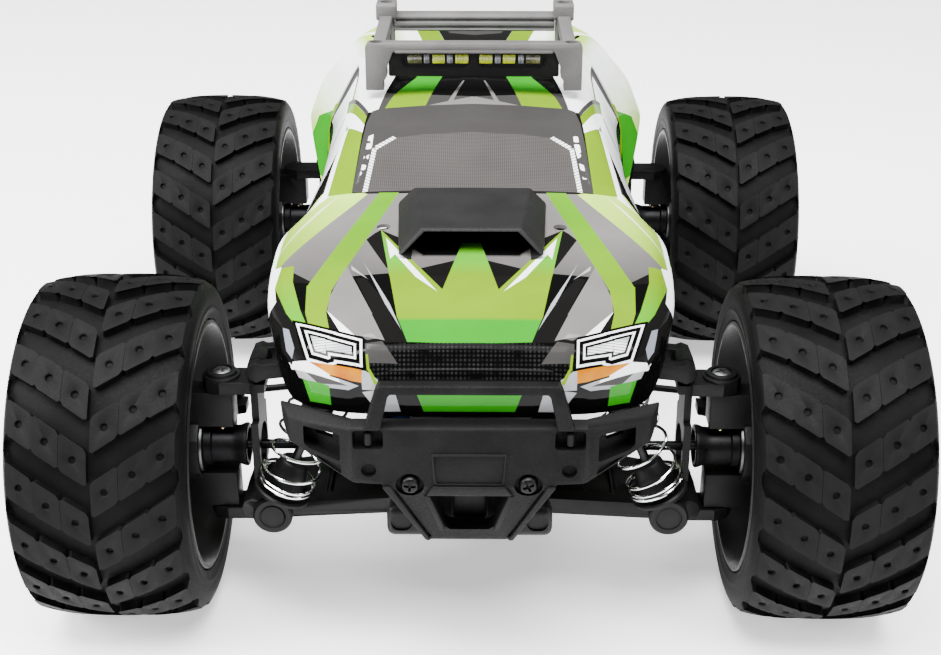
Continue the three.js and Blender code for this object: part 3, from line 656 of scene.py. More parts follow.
def shell_mesh():
    rows = shell_rows()
    nose = end_cap(rows[0], -1, ((0.02, 0.45), (0.05, 0.8), (0.1, 1.0), (0.4, 1.25), (0.7, 1.3),
                                 (0.97, 1.3)))
    tail = end_cap(rows[-1], 1, ((0.02, 0.7), (0.06, 1.1), (0.12, 1.3), (0.5, 1.38), (0.97, 1.4)))
    bm = bmesh.new()
    rings = [ring(bm, row) for row in [*reversed(nose), *rows, *tail]]
    for a, b in zip(rings, rings[1:]):
        skin(bm, a, b, closed=False)
    tidy(bm, 0.002)
    if sum(f.normal.z * f.calc_area() for f in bm.faces) < 0:
        bmesh.ops.reverse_faces(bm, faces=bm.faces)
    bmesh.ops.solidify(bm, geom=bm.faces[:], thickness=SHELL_WALL)
    return bm


def post_hole(x, y):
    return turned([(100, 0), (100, 2.2), (160, 2.2), (160, 0)], (x, y, 0), (0, 0, 1), 24)


# ------------------------------------------------------------------ shell graphics
SIN_40, COS_40 = 0.6428, 0.766


class Graphics(Nodes):
    """Flat shapes laid one over another.

    "front" shapes are drawn as seen from the front and 40 degrees above: distance from the middle
    plane, then height up the picture. "side" shapes are drawn as (y, z), "top" ones as (distance
    from the middle, y) and "back" ones as (distance from the middle, z).
    """

    def __init__(self, name, base, **shader):
        super().__init__(name, **shader)
        x, self.y, self.z = (self.math("MULTIPLY", out, 1000.0) for out in self.axes())
        self.u = self.math("ABSOLUTE", x)
        self.v = self.math("ADD", self.math("MULTIPLY", self.y, SIN_40),
                           self.math("MULTIPLY", self.z, COS_40))
        self.planes = {"front": self.pair(self.u, self.v), "side": self.pair(self.y, self.z),
                       "top": self.pair(self.u, self.y), "back": self.pair(self.u, self.z)}
        self.colour = base
        self.draw_on("front")

    def draw_on(self, plane, region=None):
        """Chooses the plane of the next outlines, and a mask that they stay inside."""
        self.plane, self.region = plane, region

    def pair(self, a, b):
        node = self.add("ShaderNodeCombineXYZ")
        for socket, value in zip(node.inputs, (a, b, 1.0)):
            self.put(socket, value)
        return node.outputs[0]

    def crossed(self, closeness):
        """A field of dots on two crossing sets of slanted lines."""
        lines = [self.math("SINE", self.math("MULTIPLY", self.math(way, self.v, self.u), closeness))
                 for way in ("ADD", "SUBTRACT")]
        return self.math("MULTIPLY", *lines)

    def inside(self, outline):
        """How far a point lies inside a convex outline, in mm; negative outside."""
        middle = [sum(p[i] for p in outline) / len(outline) for i in (0, 1)]
        depth = None
        for (a, b), (c, d) in zip(outline, outline[1:] + outline[:1]):
            length = math.hypot(c - a, d - b)
            nx, ny = (b - d) / length, (c - a) / length
            if nx * (middle[0] - a) + ny * (middle[1] - b) < 0:
                nx, ny = -nx, -ny
            node = self.add("ShaderNodeVectorMath", operation="DOT_PRODUCT")
            self.put(node.inputs[0], self.planes[self.plane])
            node.inputs[1].default_value = (nx, ny, -nx * a - ny * b)
            edge = node.outputs["Value"]
            depth = edge if depth is None else self.math("MINIMUM", depth, edge)
        return depth

    def lay(self, colour, *outlines, grow=0.0, soft=0.07):
        """Paints convex outlines over what is already there."""
        depth = self.inside(outlines[0])
        for outline in outlines[1:]:
            depth = self.math("MAXIMUM", depth, self.inside(outline))
        return self.lay_depth(colour, depth, grow, soft)

    def lay_depth(self, colour, depth, grow=0.0, soft=0.07):
        """Paints where a depth is above nought, spread by grow, over a soft edge."""
        mask = self.span(depth, -grow - soft, -grow + soft)
        if self.region is not None:
            mask = self.math("MULTIPLY", mask, self.region)
        self.colour = self.mix(mask, self.colour, colour)
        return depth


BONNET_BACK, FACE_BACK, DECK_FRONT = -58.0, -140.0, 64.0  # y where regions of the paint begin or end
CABIN_FRONT, CABIN_BACK = (-62.6, -62.2), 66.0
TAIL_FRONT, ROOF_EDGE = (172.0, 174.0), (138.9, 139.1)  # a span of y and one of z

# The shell's colours, as linear values.
LIME = (0.095, 0.175, 0.0)
BRIGHT_GREEN = (0.012, 0.17, 0.005)
PALE_LIME = (0.3, 0.48, 0.06)
WHITE = (0.7, 0.71, 0.72)
SILVER = (0.21, 0.215, 0.225)
LIGHT_GREY = (0.1, 0.095, 0.091)
GREY = (0.027, 0.026, 0.025)
DARK_GREY = (0.0038, 0.0036, 0.0035)
BLACK = (0.0012, 0.0012, 0.0012)
AMBER = (0.24, 0.055, 0.0)
DEEP_LIME = (0.05, 0.22, 0.002)


def doors_and_haunches(n):
    """Flanks: black sill, green haunches paling to white towards the top as a painted reflection, and side
    windows painted silver to white as a painted reflection, with black frames.
    """
    # The rear haunches go from pale lime low down to white high up: a painted reflection.
    rear = n.span(n.y, 62.0, 66.0)
    haunch_reflection = n.mix(n.span(n.z, 104.0, 134.0), PALE_LIME, WHITE)
    n.colour = n.mix(rear, n.colour, haunch_reflection)
    n.draw_on("side")
    n.lay(BRIGHT_GREEN, [(62, 121), (62, 90), (92, 90), (84, 112)])
    n.lay(LIME, [(66, 122), (62, 124), (62, 108)], [(118, 100), (140, 112), (182, 116), (182, 96)])
    n.lay(BLACK, [(120, 96), (140, 106), (182, 108), (182, 90)])
    n.lay(LIME, [(-62, 92), (-40, 111), (20, 112), (-20, 84)], [(30, 84), (62, 112), (62, 104), (44, 84)])
    n.lay(WHITE, [(-12, 84), (26, 110), (50, 110), (12, 84)], [(-62, 104), (-52, 112), (-47, 112)])
    n.lay(GREY, [(18, 84), (38, 101), (26, 84)])
    n.lay(BLACK, [(-70, 60), (-62, 90), (62, 82), (70, 60)])
    window = n.lay(BLACK, [(-55, 116.5), (-20, 133.5), (4, 137.4), (52, 137.6), (61, 116)], grow=1.4)
    # The window pane goes from silver low down to white high up: a painted reflection.
    pane_reflection = n.mix(n.span(n.z, 116.0, 135.0), SILVER, WHITE)
    n.lay_depth(pane_reflection, window)
    n.lay(BLACK, [(6, 112), (9, 139), (11.5, 139), (8.5, 112)])


def rear_deck(n):
    """Stripes running back over the rear deck, with a dark rear window between them."""
    n.draw_on("top", n.math("GREATER_THAN", n.y, DECK_FRONT))
    n.lay(PALE_LIME, [(30, 64), (44, 64), (60, 150), (52, 182), (40, 182)], soft=3.0)
    n.lay(WHITE, [(34, 90), (52, 120), (56, 122), (40, 92)])
    n.lay(LIME, [(11, 60), (20, 60), (30, 140), (21, 140)], [(21, 140), (30, 140), (24, 184), (13, 184)])
    n.lay(BRIGHT_GREEN, [(26, 110), (29.6, 140), (21, 140), (17.5, 110)])
    n.lay(DARK_GREY, [(-1, 60), (11, 60), (21, 140), (13, 184), (-1, 184)])
    n.lay(GREY, [(-1, 84), (11, 92), (14, 116), (-1, 108)], [(4, 150), (15, 150), (11, 170), (2, 176)])
    n.lay(GREY, [(31, 150), (47, 128), (50, 140), (36, 172)])
    n.lay(LIME, [(47, 126), (60, 112), (61, 120), (50, 138)])
    n.lay(BLACK, [(33, 62), (36, 62), (45, 96), (44, 98)])


def tail(n):
    """A black panel between two red lamps, under a lime line."""
    behind = n.span(n.y, *TAIL_FRONT)
    n.colour = n.mix(behind, n.colour, DARK_GREY)
    n.draw_on("back", behind)
    n.lay(BLACK, [(-1, 116), (24, 115), (27, 101), (-1, 101)])
    lamp = n.lay(BLACK, [(30, 111), (42, 108.5), (44.5, 102), (31, 103)], grow=0.9)
    n.lay_depth((0.3, 0.004, 0.003), lamp)
    n.lay(LIME, [(-1, 119.5), (34, 118), (28, 116), (-1, 117.4)])


def bonnet_shards(n, ahead):
    """The bonnet's grey ground, with dark and light shards on it; the black shard at its front is a painted
    reflection of the scoop.
    """
    n.colour = n.mix(ahead, n.colour, DARK_GREY)
    shade = n.mix(n.span(n.v, 6.0, 34.0), (0.045, 0.043, 0.041), LIGHT_GREY)
    n.draw_on("front", ahead)
    n.lay(shade, [(59.2, 18.9), (35.5, 56.5), (-1, 56.5), (-1, 22), (24.5, 12.3), (42, 6)])
    n.lay(DARK_GREY, [(33.3, 30.7), (25.7, 16.1), (22, 16), (22, 31), (29.1, 35.8), (31, 34)])
    n.lay(LIGHT_GREY, [(38, 17.5), (41.5, 3.2), (41.4, -3), (36, -12.6), (31.6, -14.2), (23.7, -15.4)])
    # This black shard below v 12 is a painted reflection of the dark bonnet scoop.
    n.lay(BLACK, [(38, 12), (24.5, 13.5), (20.5, -8), (27, -6)])
    n.lay(LIGHT_GREY, [(38, 17.2), (28, -5), (31, -5.5), (39.5, 12)])
    n.lay(DARK_GREY, [(34.5, 11), (24.2, -13.5), (21, -14), (22.5, -3), (31.8, 11.5)])
    n.lay(SILVER, [(32.5, 18.1), (23.4, -0.6), (19.5, -11), (24.7, -0.6)])
    n.lay(SILVER, [(36.6, 17.5), (31, 11), (36.2, 15.4)])
    n.lay(BLACK, [(59, 12), (49, -2), (47, -4), (45, 9)])
    n.lay(BLACK, [(22, 30), (15, 22), (-1, 22), (-1, 48), (22, 48)], soft=0.6)


def bonnet_sides(n, ahead):
    """Lime over the fenders, paling towards the top as a painted reflection, with white edges that are
    painted highlights on the shoulders, and green flanks.
    """
    # The fender lime pales towards the top: a painted reflection.
    pale = n.mix(n.span(n.math("SUBTRACT", n.v, n.u), -45.0, 12.0), LIME, PALE_LIME)
    n.lay(pale, [(41.3, 58), (35.5, 56.4), (59.2, 18.9), (75, 13), (75, 60)],
          [(59.2, 19.5), (62, 13), (75, 13), (75, 22)])
    # The white band, wedge and corner patch on the shoulders are painted highlights.
    n.lay(WHITE, [(47, 58), (60.2, 40), (62.6, 40), (51, 58)],
          [(60.2, 40.5), (61.4, 15), (63, 15), (62.6, 40.5)], soft=0.3)
    n.lay(WHITE, [(47.5, 52), (55.8, 35.5), (50.5, 47)], soft=0.4)
    n.lay(WHITE, [(58.7, 18.8), (66, 20), (66, 9), (59.9, 10.2)],
          [(59.9, 10.6), (66, 11), (66, -6), (58.6, 4.4)])
    n.draw_on("front", n.math("MULTIPLY", ahead, n.span(n.u, 62.35, 62.5)))
    n.lay(BRIGHT_GREEN, [(55, 60), (55, 22), (80, 22), (80, 60)])


def bonnet_stripes(n, ahead):
    """Stripes down to the headlamps, then the lime crown in the middle."""
    stripe = n.mix(n.span(n.v, -2.0, 44.0), LIME, (0.06, 0.19, 0.001))
    n.draw_on("front", ahead)
    n.lay(stripe, [(31.6, 57), (24.9, 57), (41.2, 6.6), (49.2, 8.2)],
          [(49.2, 8.8), (41.2, 7.2), (41.7, -3.9), (47.7, -3.9), (48.1, -2.5)],
          [(41.7, -3.4), (39.9, -10.9), (46.5, -7.6), (47.85, -3.4)])
    n.lay(n.mix(n.span(n.v, -4.0, 14.0), DEEP_LIME, LIME),
          [(58.7, 18.1), (54.6, 18.5), (53.8, 10.5), (59.9, 10.2)],
          [(53.8, 10.9), (49.5, -2.3), (54, -2.1), (59.9, 10.6)],
          [(49.7, -1.7), (47.3, -7.2), (50.4, -7.4), (54.4, -1.4)])
    n.lay(WHITE, [(41.4, -3), (36.1, -12.6), (31.6, -13.9)])
    upper = n.mix(n.span(n.v, 12.0, 20.0), LIME, (0.05, 0.22, 0.006))
    crown = n.mix(n.span(n.v, -8.0, -6.5), BRIGHT_GREEN, upper)
    n.lay(crown, [(29.1, 35.8), (24.5, 12.3), (8.3, 5.7)],
          [(24.5, 12.7), (20.8, -6.3), (17.4, -15.9), (-1, -16.7), (-1, 2)],
          [(2.9, 28.9), (-1, 28.9), (-1, 0), (9.6, 0)])
    n.lay(LIME, [(29.1, 35.8), (8.3, 5.7), (9.4, 5.2), (26.6, 29)])
    n.lay(WHITE, [(27, 31.4), (9.9, 5), (16.5, 11.6), (23.7, 23.2)],
          [(27.1, 31.6), (24.9, 20.7), (23.2, 24)])


def bonnet(n):
    ahead = n.math("LESS_THAN", n.y, BONNET_BACK)
    bonnet_shards(n, ahead)
    bonnet_sides(n, ahead)
    bonnet_stripes(n, ahead)


def grille(n, front):
    """The black front with its mesh and the small patches round it."""
    n.lay(BLACK, [(62, -8.5), (47.3, -7.4), (47.3, -60), (62, -60)],
          [(47.6, -7.4), (39.9, -11.1), (39.9, -60), (47.6, -60)],
          [(40.2, -11.1), (24, -15.8), (24, -60), (40.2, -60)],
          [(24.3, -15.9), (-1, -16.7), (-1, -60), (24.3, -60)])
    n.lay(DARK_GREY, [(50.5, -6.2), (39.9, -10.5), (36, -21), (52, -17)],
          [(40.5, -10.9), (23.7, -15.3), (28.9, -22), (40, -22)])
    holes = n.span(n.crossed(2.6), 0.1, 0.5)
    mesh = n.mix(n.math("MULTIPLY", holes, n.span(n.noise(300.0), 0.3, 0.6)), BLACK, (0.011, 0.011, 0.0115))
    opening = n.lay(mesh, [(-1, -16.3), (19, -16.3), (27.5, -17.6), (28.6, -26.1), (26.5, -28.9),
                           (-1, -29.5)])
    n.matte = n.math("MULTIPLY", n.span(opening, -1.0, 0.0), front)
    n.lay(GREY, [(24.4, -15.6), (19.9, -22.2), (28.6, -21.8), (29.6, -16.2)])
    n.lay(SILVER, [(30.2, -22.8), (25.4, -26.4), (26.4, -28.9), (30, -28.4)],
          [(30, -29), (26.6, -29), (27.5, -32)], [(24, -30), (20.6, -30), (19.3, -34), (24, -34)])
    n.lay(LIME, [(28.9, -19.4), (28.3, -19.4), (27.8, -23.6), (28.6, -23.6)],
          [(28.5, -23.3), (27.7, -23.3), (25.5, -27.2), (26.5, -27.6)])
    n.lay(BRIGHT_GREEN, [(14.6, -30), (12.8, -34), (-1, -34), (-1, -30)])


def headlamps(n):
    """A ribbed lens inside white and black rims."""
    lens = n.mix(n.span(n.math("SINE", n.math("MULTIPLY", n.v, 7.2)), 0.35, 0.85), WHITE, GREY)
    lens = n.mix(n.span(n.noise(60.0, 1.0), 0.45, 0.6), lens, SILVER)
    lamp = n.inside([(50.0, -6.9), (38.2, -11.6), (37.6, -20.9), (40.1, -21.1), (45.9, -18.7)])
    lamp = n.math("MAXIMUM", lamp, n.inside([(44, -9.4), (30.4, -14.9), (30.1, -22.4), (38.4, -20.3),
                                             (43, -19)]))
    for colour, grow in ((BLACK, 1.1), (WHITE, 0.3), (BLACK, -0.35), (WHITE, -1.5), (BLACK, -2.05),
                         (lens, -2.75)):
        n.lay_depth(colour, lamp, grow)


def indicators(n):
    """Amber lamps under the headlamps, with the patches round them."""
    glow = n.mix(n.span(n.noise(110.0, 1.0), 0.4, 0.6), AMBER, (0.34, 0.13, 0.0))
    n.lay(WHITE, [(52.2, -17.9), (45.6, -19.1), (39.4, -23.2), (39.4, -24.1), (50.9, -20)])
    n.lay(glow, [(45.6, -19.4), (30, -23.5), (30.1, -26.7), (33.1, -26), (39.4, -23.7)])
    n.lay(SILVER, [(50, -20.6), (40, -23.8), (31, -27.4), (34, -28.2), (42, -26.4), (49, -22.6)])
    n.lay(GREY, [(47, -21.6), (39, -24.8), (34, -27.2), (43, -25.4)])
    n.lay(BRIGHT_GREEN, [(47.7, -23.4), (39.7, -26.4), (39.3, -31), (45.8, -29)])
    n.lay(WHITE, [(51.6, -19.2), (51.2, -20), (36.4, -26), (36.8, -25.2)])
    n.lay(DARK_GREY, [(57, -3), (50.6, -7.4), (48.6, -15), (51.3, -19), (54.6, -14)])
    n.lay((0.14, 0.15, 0.175), [(54.9, -6.4), (52.6, -8), (50.4, -14.4), (51.1, -17.3), (53.1, -14.3)])


def face(n):
    front = n.math("LESS_THAN", n.y, FACE_BACK)
    n.draw_on("front", front)
    grille(n, front)
    headlamps(n)
    indicators(n)


def roof(n, cabin, stripe):
    n.draw_on("front", n.math("MULTIPLY", cabin, n.span(n.z, *ROOF_EDGE)))
    # The white roof sides are a painted reflection.
    n.lay(WHITE, [(30, 98), (52, 98), (60, 160), (28, 160)])
    n.lay(PALE_LIME, [(44.6, 112), (47, 112), (58, 160), (50, 160)], soft=1.5)
    n.lay(GREY, [(34.7, 98), (-1, 98), (-1, 160), (23.5, 160), (32.1, 113)])
    # The black on the roof under the rack is a painted shadow of the rack.
    n.lay(BLACK, [(32.6, 110), (-1, 106), (-1, 160), (23.5, 160)])
    n.lay(stripe, [(32.2, 99.6), (17.4, 100.9), (12.3, 121.8), (22, 121.9), (29.6, 107.6)],
          [(12.3, 121), (22, 121), (20, 152), (11, 152)])
    n.lay(LIGHT_GREY, [(16.2, 101.2), (0.4, 106), (-1, 104), (-1, 101)])
    n.lay(LIGHT_GREY, [(9.4, 103), (4.2, 118.6), (3.6, 118.6), (7.6, 103)],
          [(8, 128), (-1, 134), (-1, 131)])
    n.lay(LIME, [(-1, 141), (9, 137), (9, 136), (-1, 138)])


def pillars(n, stripe):
    n.lay(LIME, [(41.1, 55), (49.6, 54), (46, 88), (45.4, 93), (39.5, 87.6)])
    n.lay(WHITE, [(49.4, 54), (51.2, 54), (47.6, 92), (45.4, 92.6)])
    n.lay(WHITE, [(39.5, 87.3), (45.4, 92.4), (49.5, 109.4), (48.3, 109), (39.1, 91.4)])
    n.lay(stripe, [(39.1, 91.4), (48.5, 108.8), (48.9, 116.8), (38.5, 95.9)])
    n.lay(GREY, [(38.5, 95.9), (48.9, 116.8), (49.2, 121), (38, 98.3)])


def windscreen(n, cabin):
    """Dark glass printed with a fine mesh, a dashed white line round it, chips in the paint, and a dark band
    at its foot that is a painted reflection of the scoop.
    """
    n.lay(GREY, [(41.1, 55), (39.5, 80), (38.3, 92), (36.6, 98.5), (33.8, 99.8), (17.4, 101.1), (-1, 101.4),
                 (-1, 55)])
    mesh = n.mix(n.span(n.crossed(4.6), -0.1, 0.45), (0.05, 0.0465, 0.0445), (0.022, 0.0205, 0.02))
    glass = n.lay(mesh, [(35.6, 56), (33.8, 78.2), (27.4, 84), (18, 85.5), (-1, 86.3), (-1, 56)])
    n.matte = n.math("MAXIMUM", n.matte, n.math("MULTIPLY", n.span(glass, -0.1, 0.1), cabin))
    beat = n.math("SINE", n.math("MULTIPLY", n.math("ADD", n.v, n.math("MULTIPLY", n.u, -0.5)), 4.4))
    n.draw_on("front", n.math("MULTIPLY", cabin, n.span(beat, -0.75, -0.55)))
    n.lay(WHITE, [(37.3, 57.4), (35.7, 57.4), (33.8, 78.6), (35.3, 79)],
          [(34.6, 79.8), (33.8, 78.2), (27.2, 83.8), (28.4, 84.8)])
    n.draw_on("front", n.math("MULTIPLY", cabin, n.span(n.cells(260.0), 0.42, 0.46, 1.0, 0.0)))
    n.lay(WHITE, [(39, 64), (37.8, 64), (35.5, 81), (35.4, 86), (37, 85)])
    n.draw_on("front", cabin)
    # A dark band along the foot of the windscreen: a painted reflection of the bonnet scoop.
    n.lay(DARK_GREY, [(41.6, 54.8), (41, 57.3), (-1, 58.6), (-1, 55)])


def cabin_and_roof(n):
    cabin = n.math("MULTIPLY", n.span(n.y, *CABIN_FRONT), n.math("LESS_THAN", n.y, CABIN_BACK))
    stripe = n.mix(n.span(n.v, 108.0, 112.0), LIME, BRIGHT_GREEN)
    roof(n, cabin, stripe)
    n.draw_on("front", cabin)
    pillars(n, stripe)
    windscreen(n, cabin)


def shell_paint():
    """Painted polycarbonate: glossy, with orange peel, dust and fine scratches in the coat."""
    n = Graphics("shell_paint", DARK_GREY, Specular_IOR_Level=0.0)
    for paint in (doors_and_haunches, rear_deck, tail, bonnet, face, cabin_and_roof):
        paint(n)
    cloud = n.span(n.noise(45.0, 4.0), 0.35, 0.7, 0.9, 1.04)
    shade = n.add("ShaderNodeMix", data_type="RGBA", blend_type="MULTIPLY")
    shade.inputs[0].default_value = 1.0
    grey = n.add("ShaderNodeCombineXYZ")
    for socket in grey.inputs:
        n.put(socket, cloud)
    n.put(shade.inputs[6], n.colour)
    n.put(shade.inputs[7], grey.outputs[0])
    n.feed(Base_Color=shade.outputs[2])
    n.feed(Roughness=n.span(n.noise(700.0, 4.0), 0.3, 0.75, 0.4, 0.6))
    n.feed(Coat_Roughness=n.span(n.noise(260.0, 5.0, 0.7), 0.35, 0.75, 0.03, 0.1))
    n.feed(Coat_Weight=n.span(n.matte, 0.0, 1.0, 0.2, 0.03))
    n.feed(Coat_Normal=n.bump(n.noise(190.0, 2.0), 0.00002))
    return n.material


SHELL_PAINT = shell_paint()


def painted_shell():
    holes = [post_hole(side * x, y) for x, y in POST_HOLES for side in (1, -1)]
    made("painted_shell", cut(shell_mesh(), *holes), SHELL_PAINT, "chassis", ["body_shell"],
         sharp=50)


painted_shell()


# ------------------------------------------------------------------ screws and softened copies of CAD nodes
SLOTS = {row["node"]: row["material_slot"] for row in frame["record"]["subparts"]}


def rounded_box(x, y, z, width=0.6):
    return softened(cuboid(x, y, z), width)


def round_ended(length, radius, low, high, at):
    """A prism from y low to y high with the outline of a slot that lies across the truck."""
    steps = 10
    half = max(length / 2 - radius, 0.0)
    outline = []
    for i in range(2 * steps):
        a = math.pi * (i / steps - 0.5) + (math.pi * 0.5 / steps)
        shift = half if math.cos(a) > 0 else -half
        outline.append((at[0] + shift + radius * math.cos(a), at[1] + radius * math.sin(a)))
    return prism(outline, low, high)


def cross_head(radius, length):
    """A pan head on the origin, standing up along +X, with a cross recess."""
    head = turned([(0, 0), (0, radius), (0.45 * length, radius), (0.85 * length, radius * 0.78),
                   (length, radius * 0.45), (length, 0)], sides=28)
    slot, width = radius * 0.62, radius * 0.13
    deep = (length * 0.35, length + 1)
    return cut(head, cuboid(deep, (-slot, slot), (-width, width)),
               cuboid(deep, (-width, width), (-slot, slot)))


def screws(name, places, along, radius, body, length=None, material=SCREW_STEEL):
    """Screw heads of one size, each at its place, facing the same way."""
    head = cross_head(radius, length or radius * 0.7)
    mesh = bpy.data.meshes.new("head")
    head.to_mesh(mesh)
    head.free()
    turn = Vector((1, 0, 0)).rotation_difference(Vector(along)).to_matrix().to_4x4()
    whole = bmesh.new()
    for i, place in enumerate(places):
        one = bmesh.new()
        one.from_mesh(mesh)
        twist = Matrix.Rotation(0.4 + 1.1 * i, 4, "X")
        bmesh.ops.transform(one, matrix=Matrix.Translation(place) @ turn @ twist, verts=one.verts)
        whole = joined(whole, one)
    bpy.data.meshes.remove(mesh)
    made(name, whole, material, body, sharp=30)


def soft_copy(node, material, width=0.5, cuts=()):
    """A CAD node with its edges rounded and pieces cut from it."""
    source = frame["nodes"][node]
    bm = bmesh.new()
    bm.from_mesh(source.data)
    bmesh.ops.transform(bm, matrix=Matrix.Scale(1 / MM, 4) @ source.matrix_world, verts=bm.verts)
    bm = softened(bm, width)
    if cuts:
        bm = cut(bm, *cuts)
    made("fine_" + node, bm, material, source["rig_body"], [node])


# ------------------------------------------------------------------ roof rack, lamp bar and bonnet scoop
def rack_panel():
    half = [(0, 165), (38.2, 165), (39.4, 163.6), (39.4, 147.6), (32.8, 147.6), (32.8, 151), (31.6, 152.6),
            (31.6, 156), (30.6, 158.4), (29.4, 161.4), (28, 162.2), (0, 162.2)]
    panel = softened(prism(mirror_x(half), -8, -2.6, "y"), 0.45)
    dimples = [turned([(163.6, 0), (163.6, 2.3), (167, 2.3), (167, 0)], (s * 35.4, -5.3, 0), (0, 0, 1), 24)
               for s in (1, -1)]
    lip = rounded_box((-28.6, 28.6), (-8, -7.1), (161.2, 162.6), 0.4)
    return joined(cut(panel, *dimples), lip)


def rack_side(s):
    """Rail, middle stay, corner block with its dimple, and grooved rear leg."""
    rail = rounded_box(across(s, 33, 38), (-3.5, 57), (156.5, 161.4))
    stay = rounded_box(across(s, 33.8, 37.4), (22, 28), (143.5, 157))
    block_outline = [(54, 160.6), (55, 159.4), (64, 159.4), (65, 160.6), (65, 165.2), (64.2, 166),
                     (54.8, 166), (54, 165.2)]
    block = softened(prism(block_outline, *across(s, 31.5, 39.5), "x"), 0.5)
    dimple = turned([(164.4, 0), (164.4, 2.5), (168, 2.5), (168, 0)], (s * 35.5, 59.5, 0), (0, 0, 1), 24)
    foot = on_side(s, (32.4, 56), (38.8, 56), (38.8, 63.6), (32.4, 63.6))
    leg = softened(prism(foot, 143.6, 159.8, "z"), 0.5)
    grooves = [cuboid(across(s, *groove), (55, 56.6), (146, 158.6))
               for groove in ((36.6, 37.3), (33.6, 34.2))]
    return [rail, stay, cut(block, dimple), cut(leg, *grooves)]


def rack_frame():
    ribbed = [(56, 155), (61.5, 155), (61.5, 162), (57.2, 162), (55.5, 160.9), (55.5, 160), (56.3, 159.6),
              (56.3, 158.9), (55.5, 158.6), (55.5, 157.2), (56.3, 156.9), (56.3, 156.1), (55.6, 155.7)]
    cross_bar = softened(prism(ribbed, -32, 32, "x"), 0.25)
    return joined(cross_bar, *rack_side(1), *rack_side(-1))


def lens_material(name, colour, dark):
    """Moulded lamp window with fine flutes."""
    n = Nodes(name, Specular_IOR_Level=0.6, Coat_Weight=0.7, Coat_Roughness=0.04)
    flutes = n.math("SINE", n.math("MULTIPLY", n.axes()[0], 7000.0))
    n.feed(Base_Color=n.mix(n.span(n.noise(420.0), 0.35, 0.65), dark, colour))
    n.feed(Roughness=n.span(n.noise(900.0), 0.3, 0.7, 0.18, 0.35))
    n.feed(Normal=n.bump(flutes, 0.00003))
    return n.material


def lamp_bar():
    holder = rounded_box((-31, 31), (-6.4, -3), (152.4, 162), 0.5)
    pockets = []
    for s in (1, -1):
        at = (s * 13.8, 158.6)
        pockets += [round_ended(24.4, 2.9, -9, -5.2, at), round_ended(25.6, 3.5, -9, -6.0, at)]
    made("lamp_bar", cut(holder, *pockets), NYLON, "chassis")
    yellow = lens_material("lamp_yellow", (0.3, 0.34, 0.0), (0.24, 0.28, 0.0))
    grey = lens_material("lamp_clear", (0.12, 0.125, 0.15), (0.05, 0.052, 0.06))
    deep = lens_material("lamp_shaded", (0.06, 0.055, 0.008), (0.02, 0.018, 0.004))
    spans = {yellow: ((1.9, 6.8), (10.5, 15.1)), grey: ((7.6, 9.8), (16.1, 18.2)), deep: ((18.9, 24.2),)}
    for material, places in spans.items():
        lenses = [rounded_box(across(s, a, b), (-6.0, -5.0), (157.1, 160.5), 0.35)
                  for a, b in places for s in (1, -1)]
        made("lenses_" + material.name, joined(*lenses), material, "chassis")


def roof_rack():
    made("rack_and_panel", joined(rack_panel(), rack_frame()), RACK_PLASTIC, "chassis",
         ["roof_rack"])
    lamp_bar()
    screws("rack_screws", [(s * 35.6, 25, 156.4) for s in (1, -1)], (0, 0, -1), 1.6, "chassis")


def scoop_row(front, top, top_z, side, side_z, foot, foot_z, lean=0.0):
    half = [(top, top_z), (side, side_z), (foot, foot_z)]
    points = half + [(-x, z) for x, z in reversed(half)]
    return [(x, front + lean * (z - top_z), z) for x, z in points]


def bonnet_scoop():
    outer = loft([
        scoop_row(-112, 15.4, 132.3, 22.6, 124.8, 15, 121.2, 0.42),
        scoop_row(-104, 16.2, 132.4, 23.2, 125.4, 20, 121.2, 0.3),
        scoop_row(-82, 18.4, 132.6, 24.2, 126.4, 23, 122.4),
        scoop_row(-73, 19.3, 132.3, 24.6, 127, 24, 123.2),
        scoop_row(-70.5, 18.2, 130.9, 23.4, 126.8, 22.6, 123.8),
    ])
    mouth = loft([
        scoop_row(-118, 14.4, 131.4, 21.4, 124.8, 14.2, 121.6, 0.42),
        scoop_row(-111, 14.4, 131.4, 21.4, 124.8, 14.2, 121.6, 0.42),
        scoop_row(-92, 13, 130, 19.6, 125.4, 14, 123),
    ])
    made("fine_scoop", cut(softened(outer, 0.8, 3), mouth), TRIM, "chassis", ["hood_scoop"])


# ------------------------------------------------------------------ bumper
AHEAD, BEHIND = -190, -160  # y of planes clear of the bumper's face and back
WING_X = 32  # the wings sweep back from here
CHIN_Z = 79.5  # the chin rakes back below here
WING_SLOPE, CHIN_RAKE, WIDER = 15 / 22, 0.42, 1.03


def swept(bm):
    """Bends the flat bumper's wings and chin back and widens it a little."""
    for point, normal in (((-WING_X, 0, 0), (1, 0, 0)), ((WING_X, 0, 0), (1, 0, 0)),
                          ((0, 0, CHIN_Z), (0, 0, 1))):
        everything = [*bm.verts, *bm.edges, *bm.faces]
        bmesh.ops.bisect_plane(bm, geom=everything, plane_co=point, plane_no=normal)
    for v in bm.verts:
        v.co.y += max(0.0, abs(v.co.x) - WING_X) * WING_SLOPE + max(0.0, CHIN_Z - v.co.z) * CHIN_RAKE
        v.co.x *= WIDER
    return bm


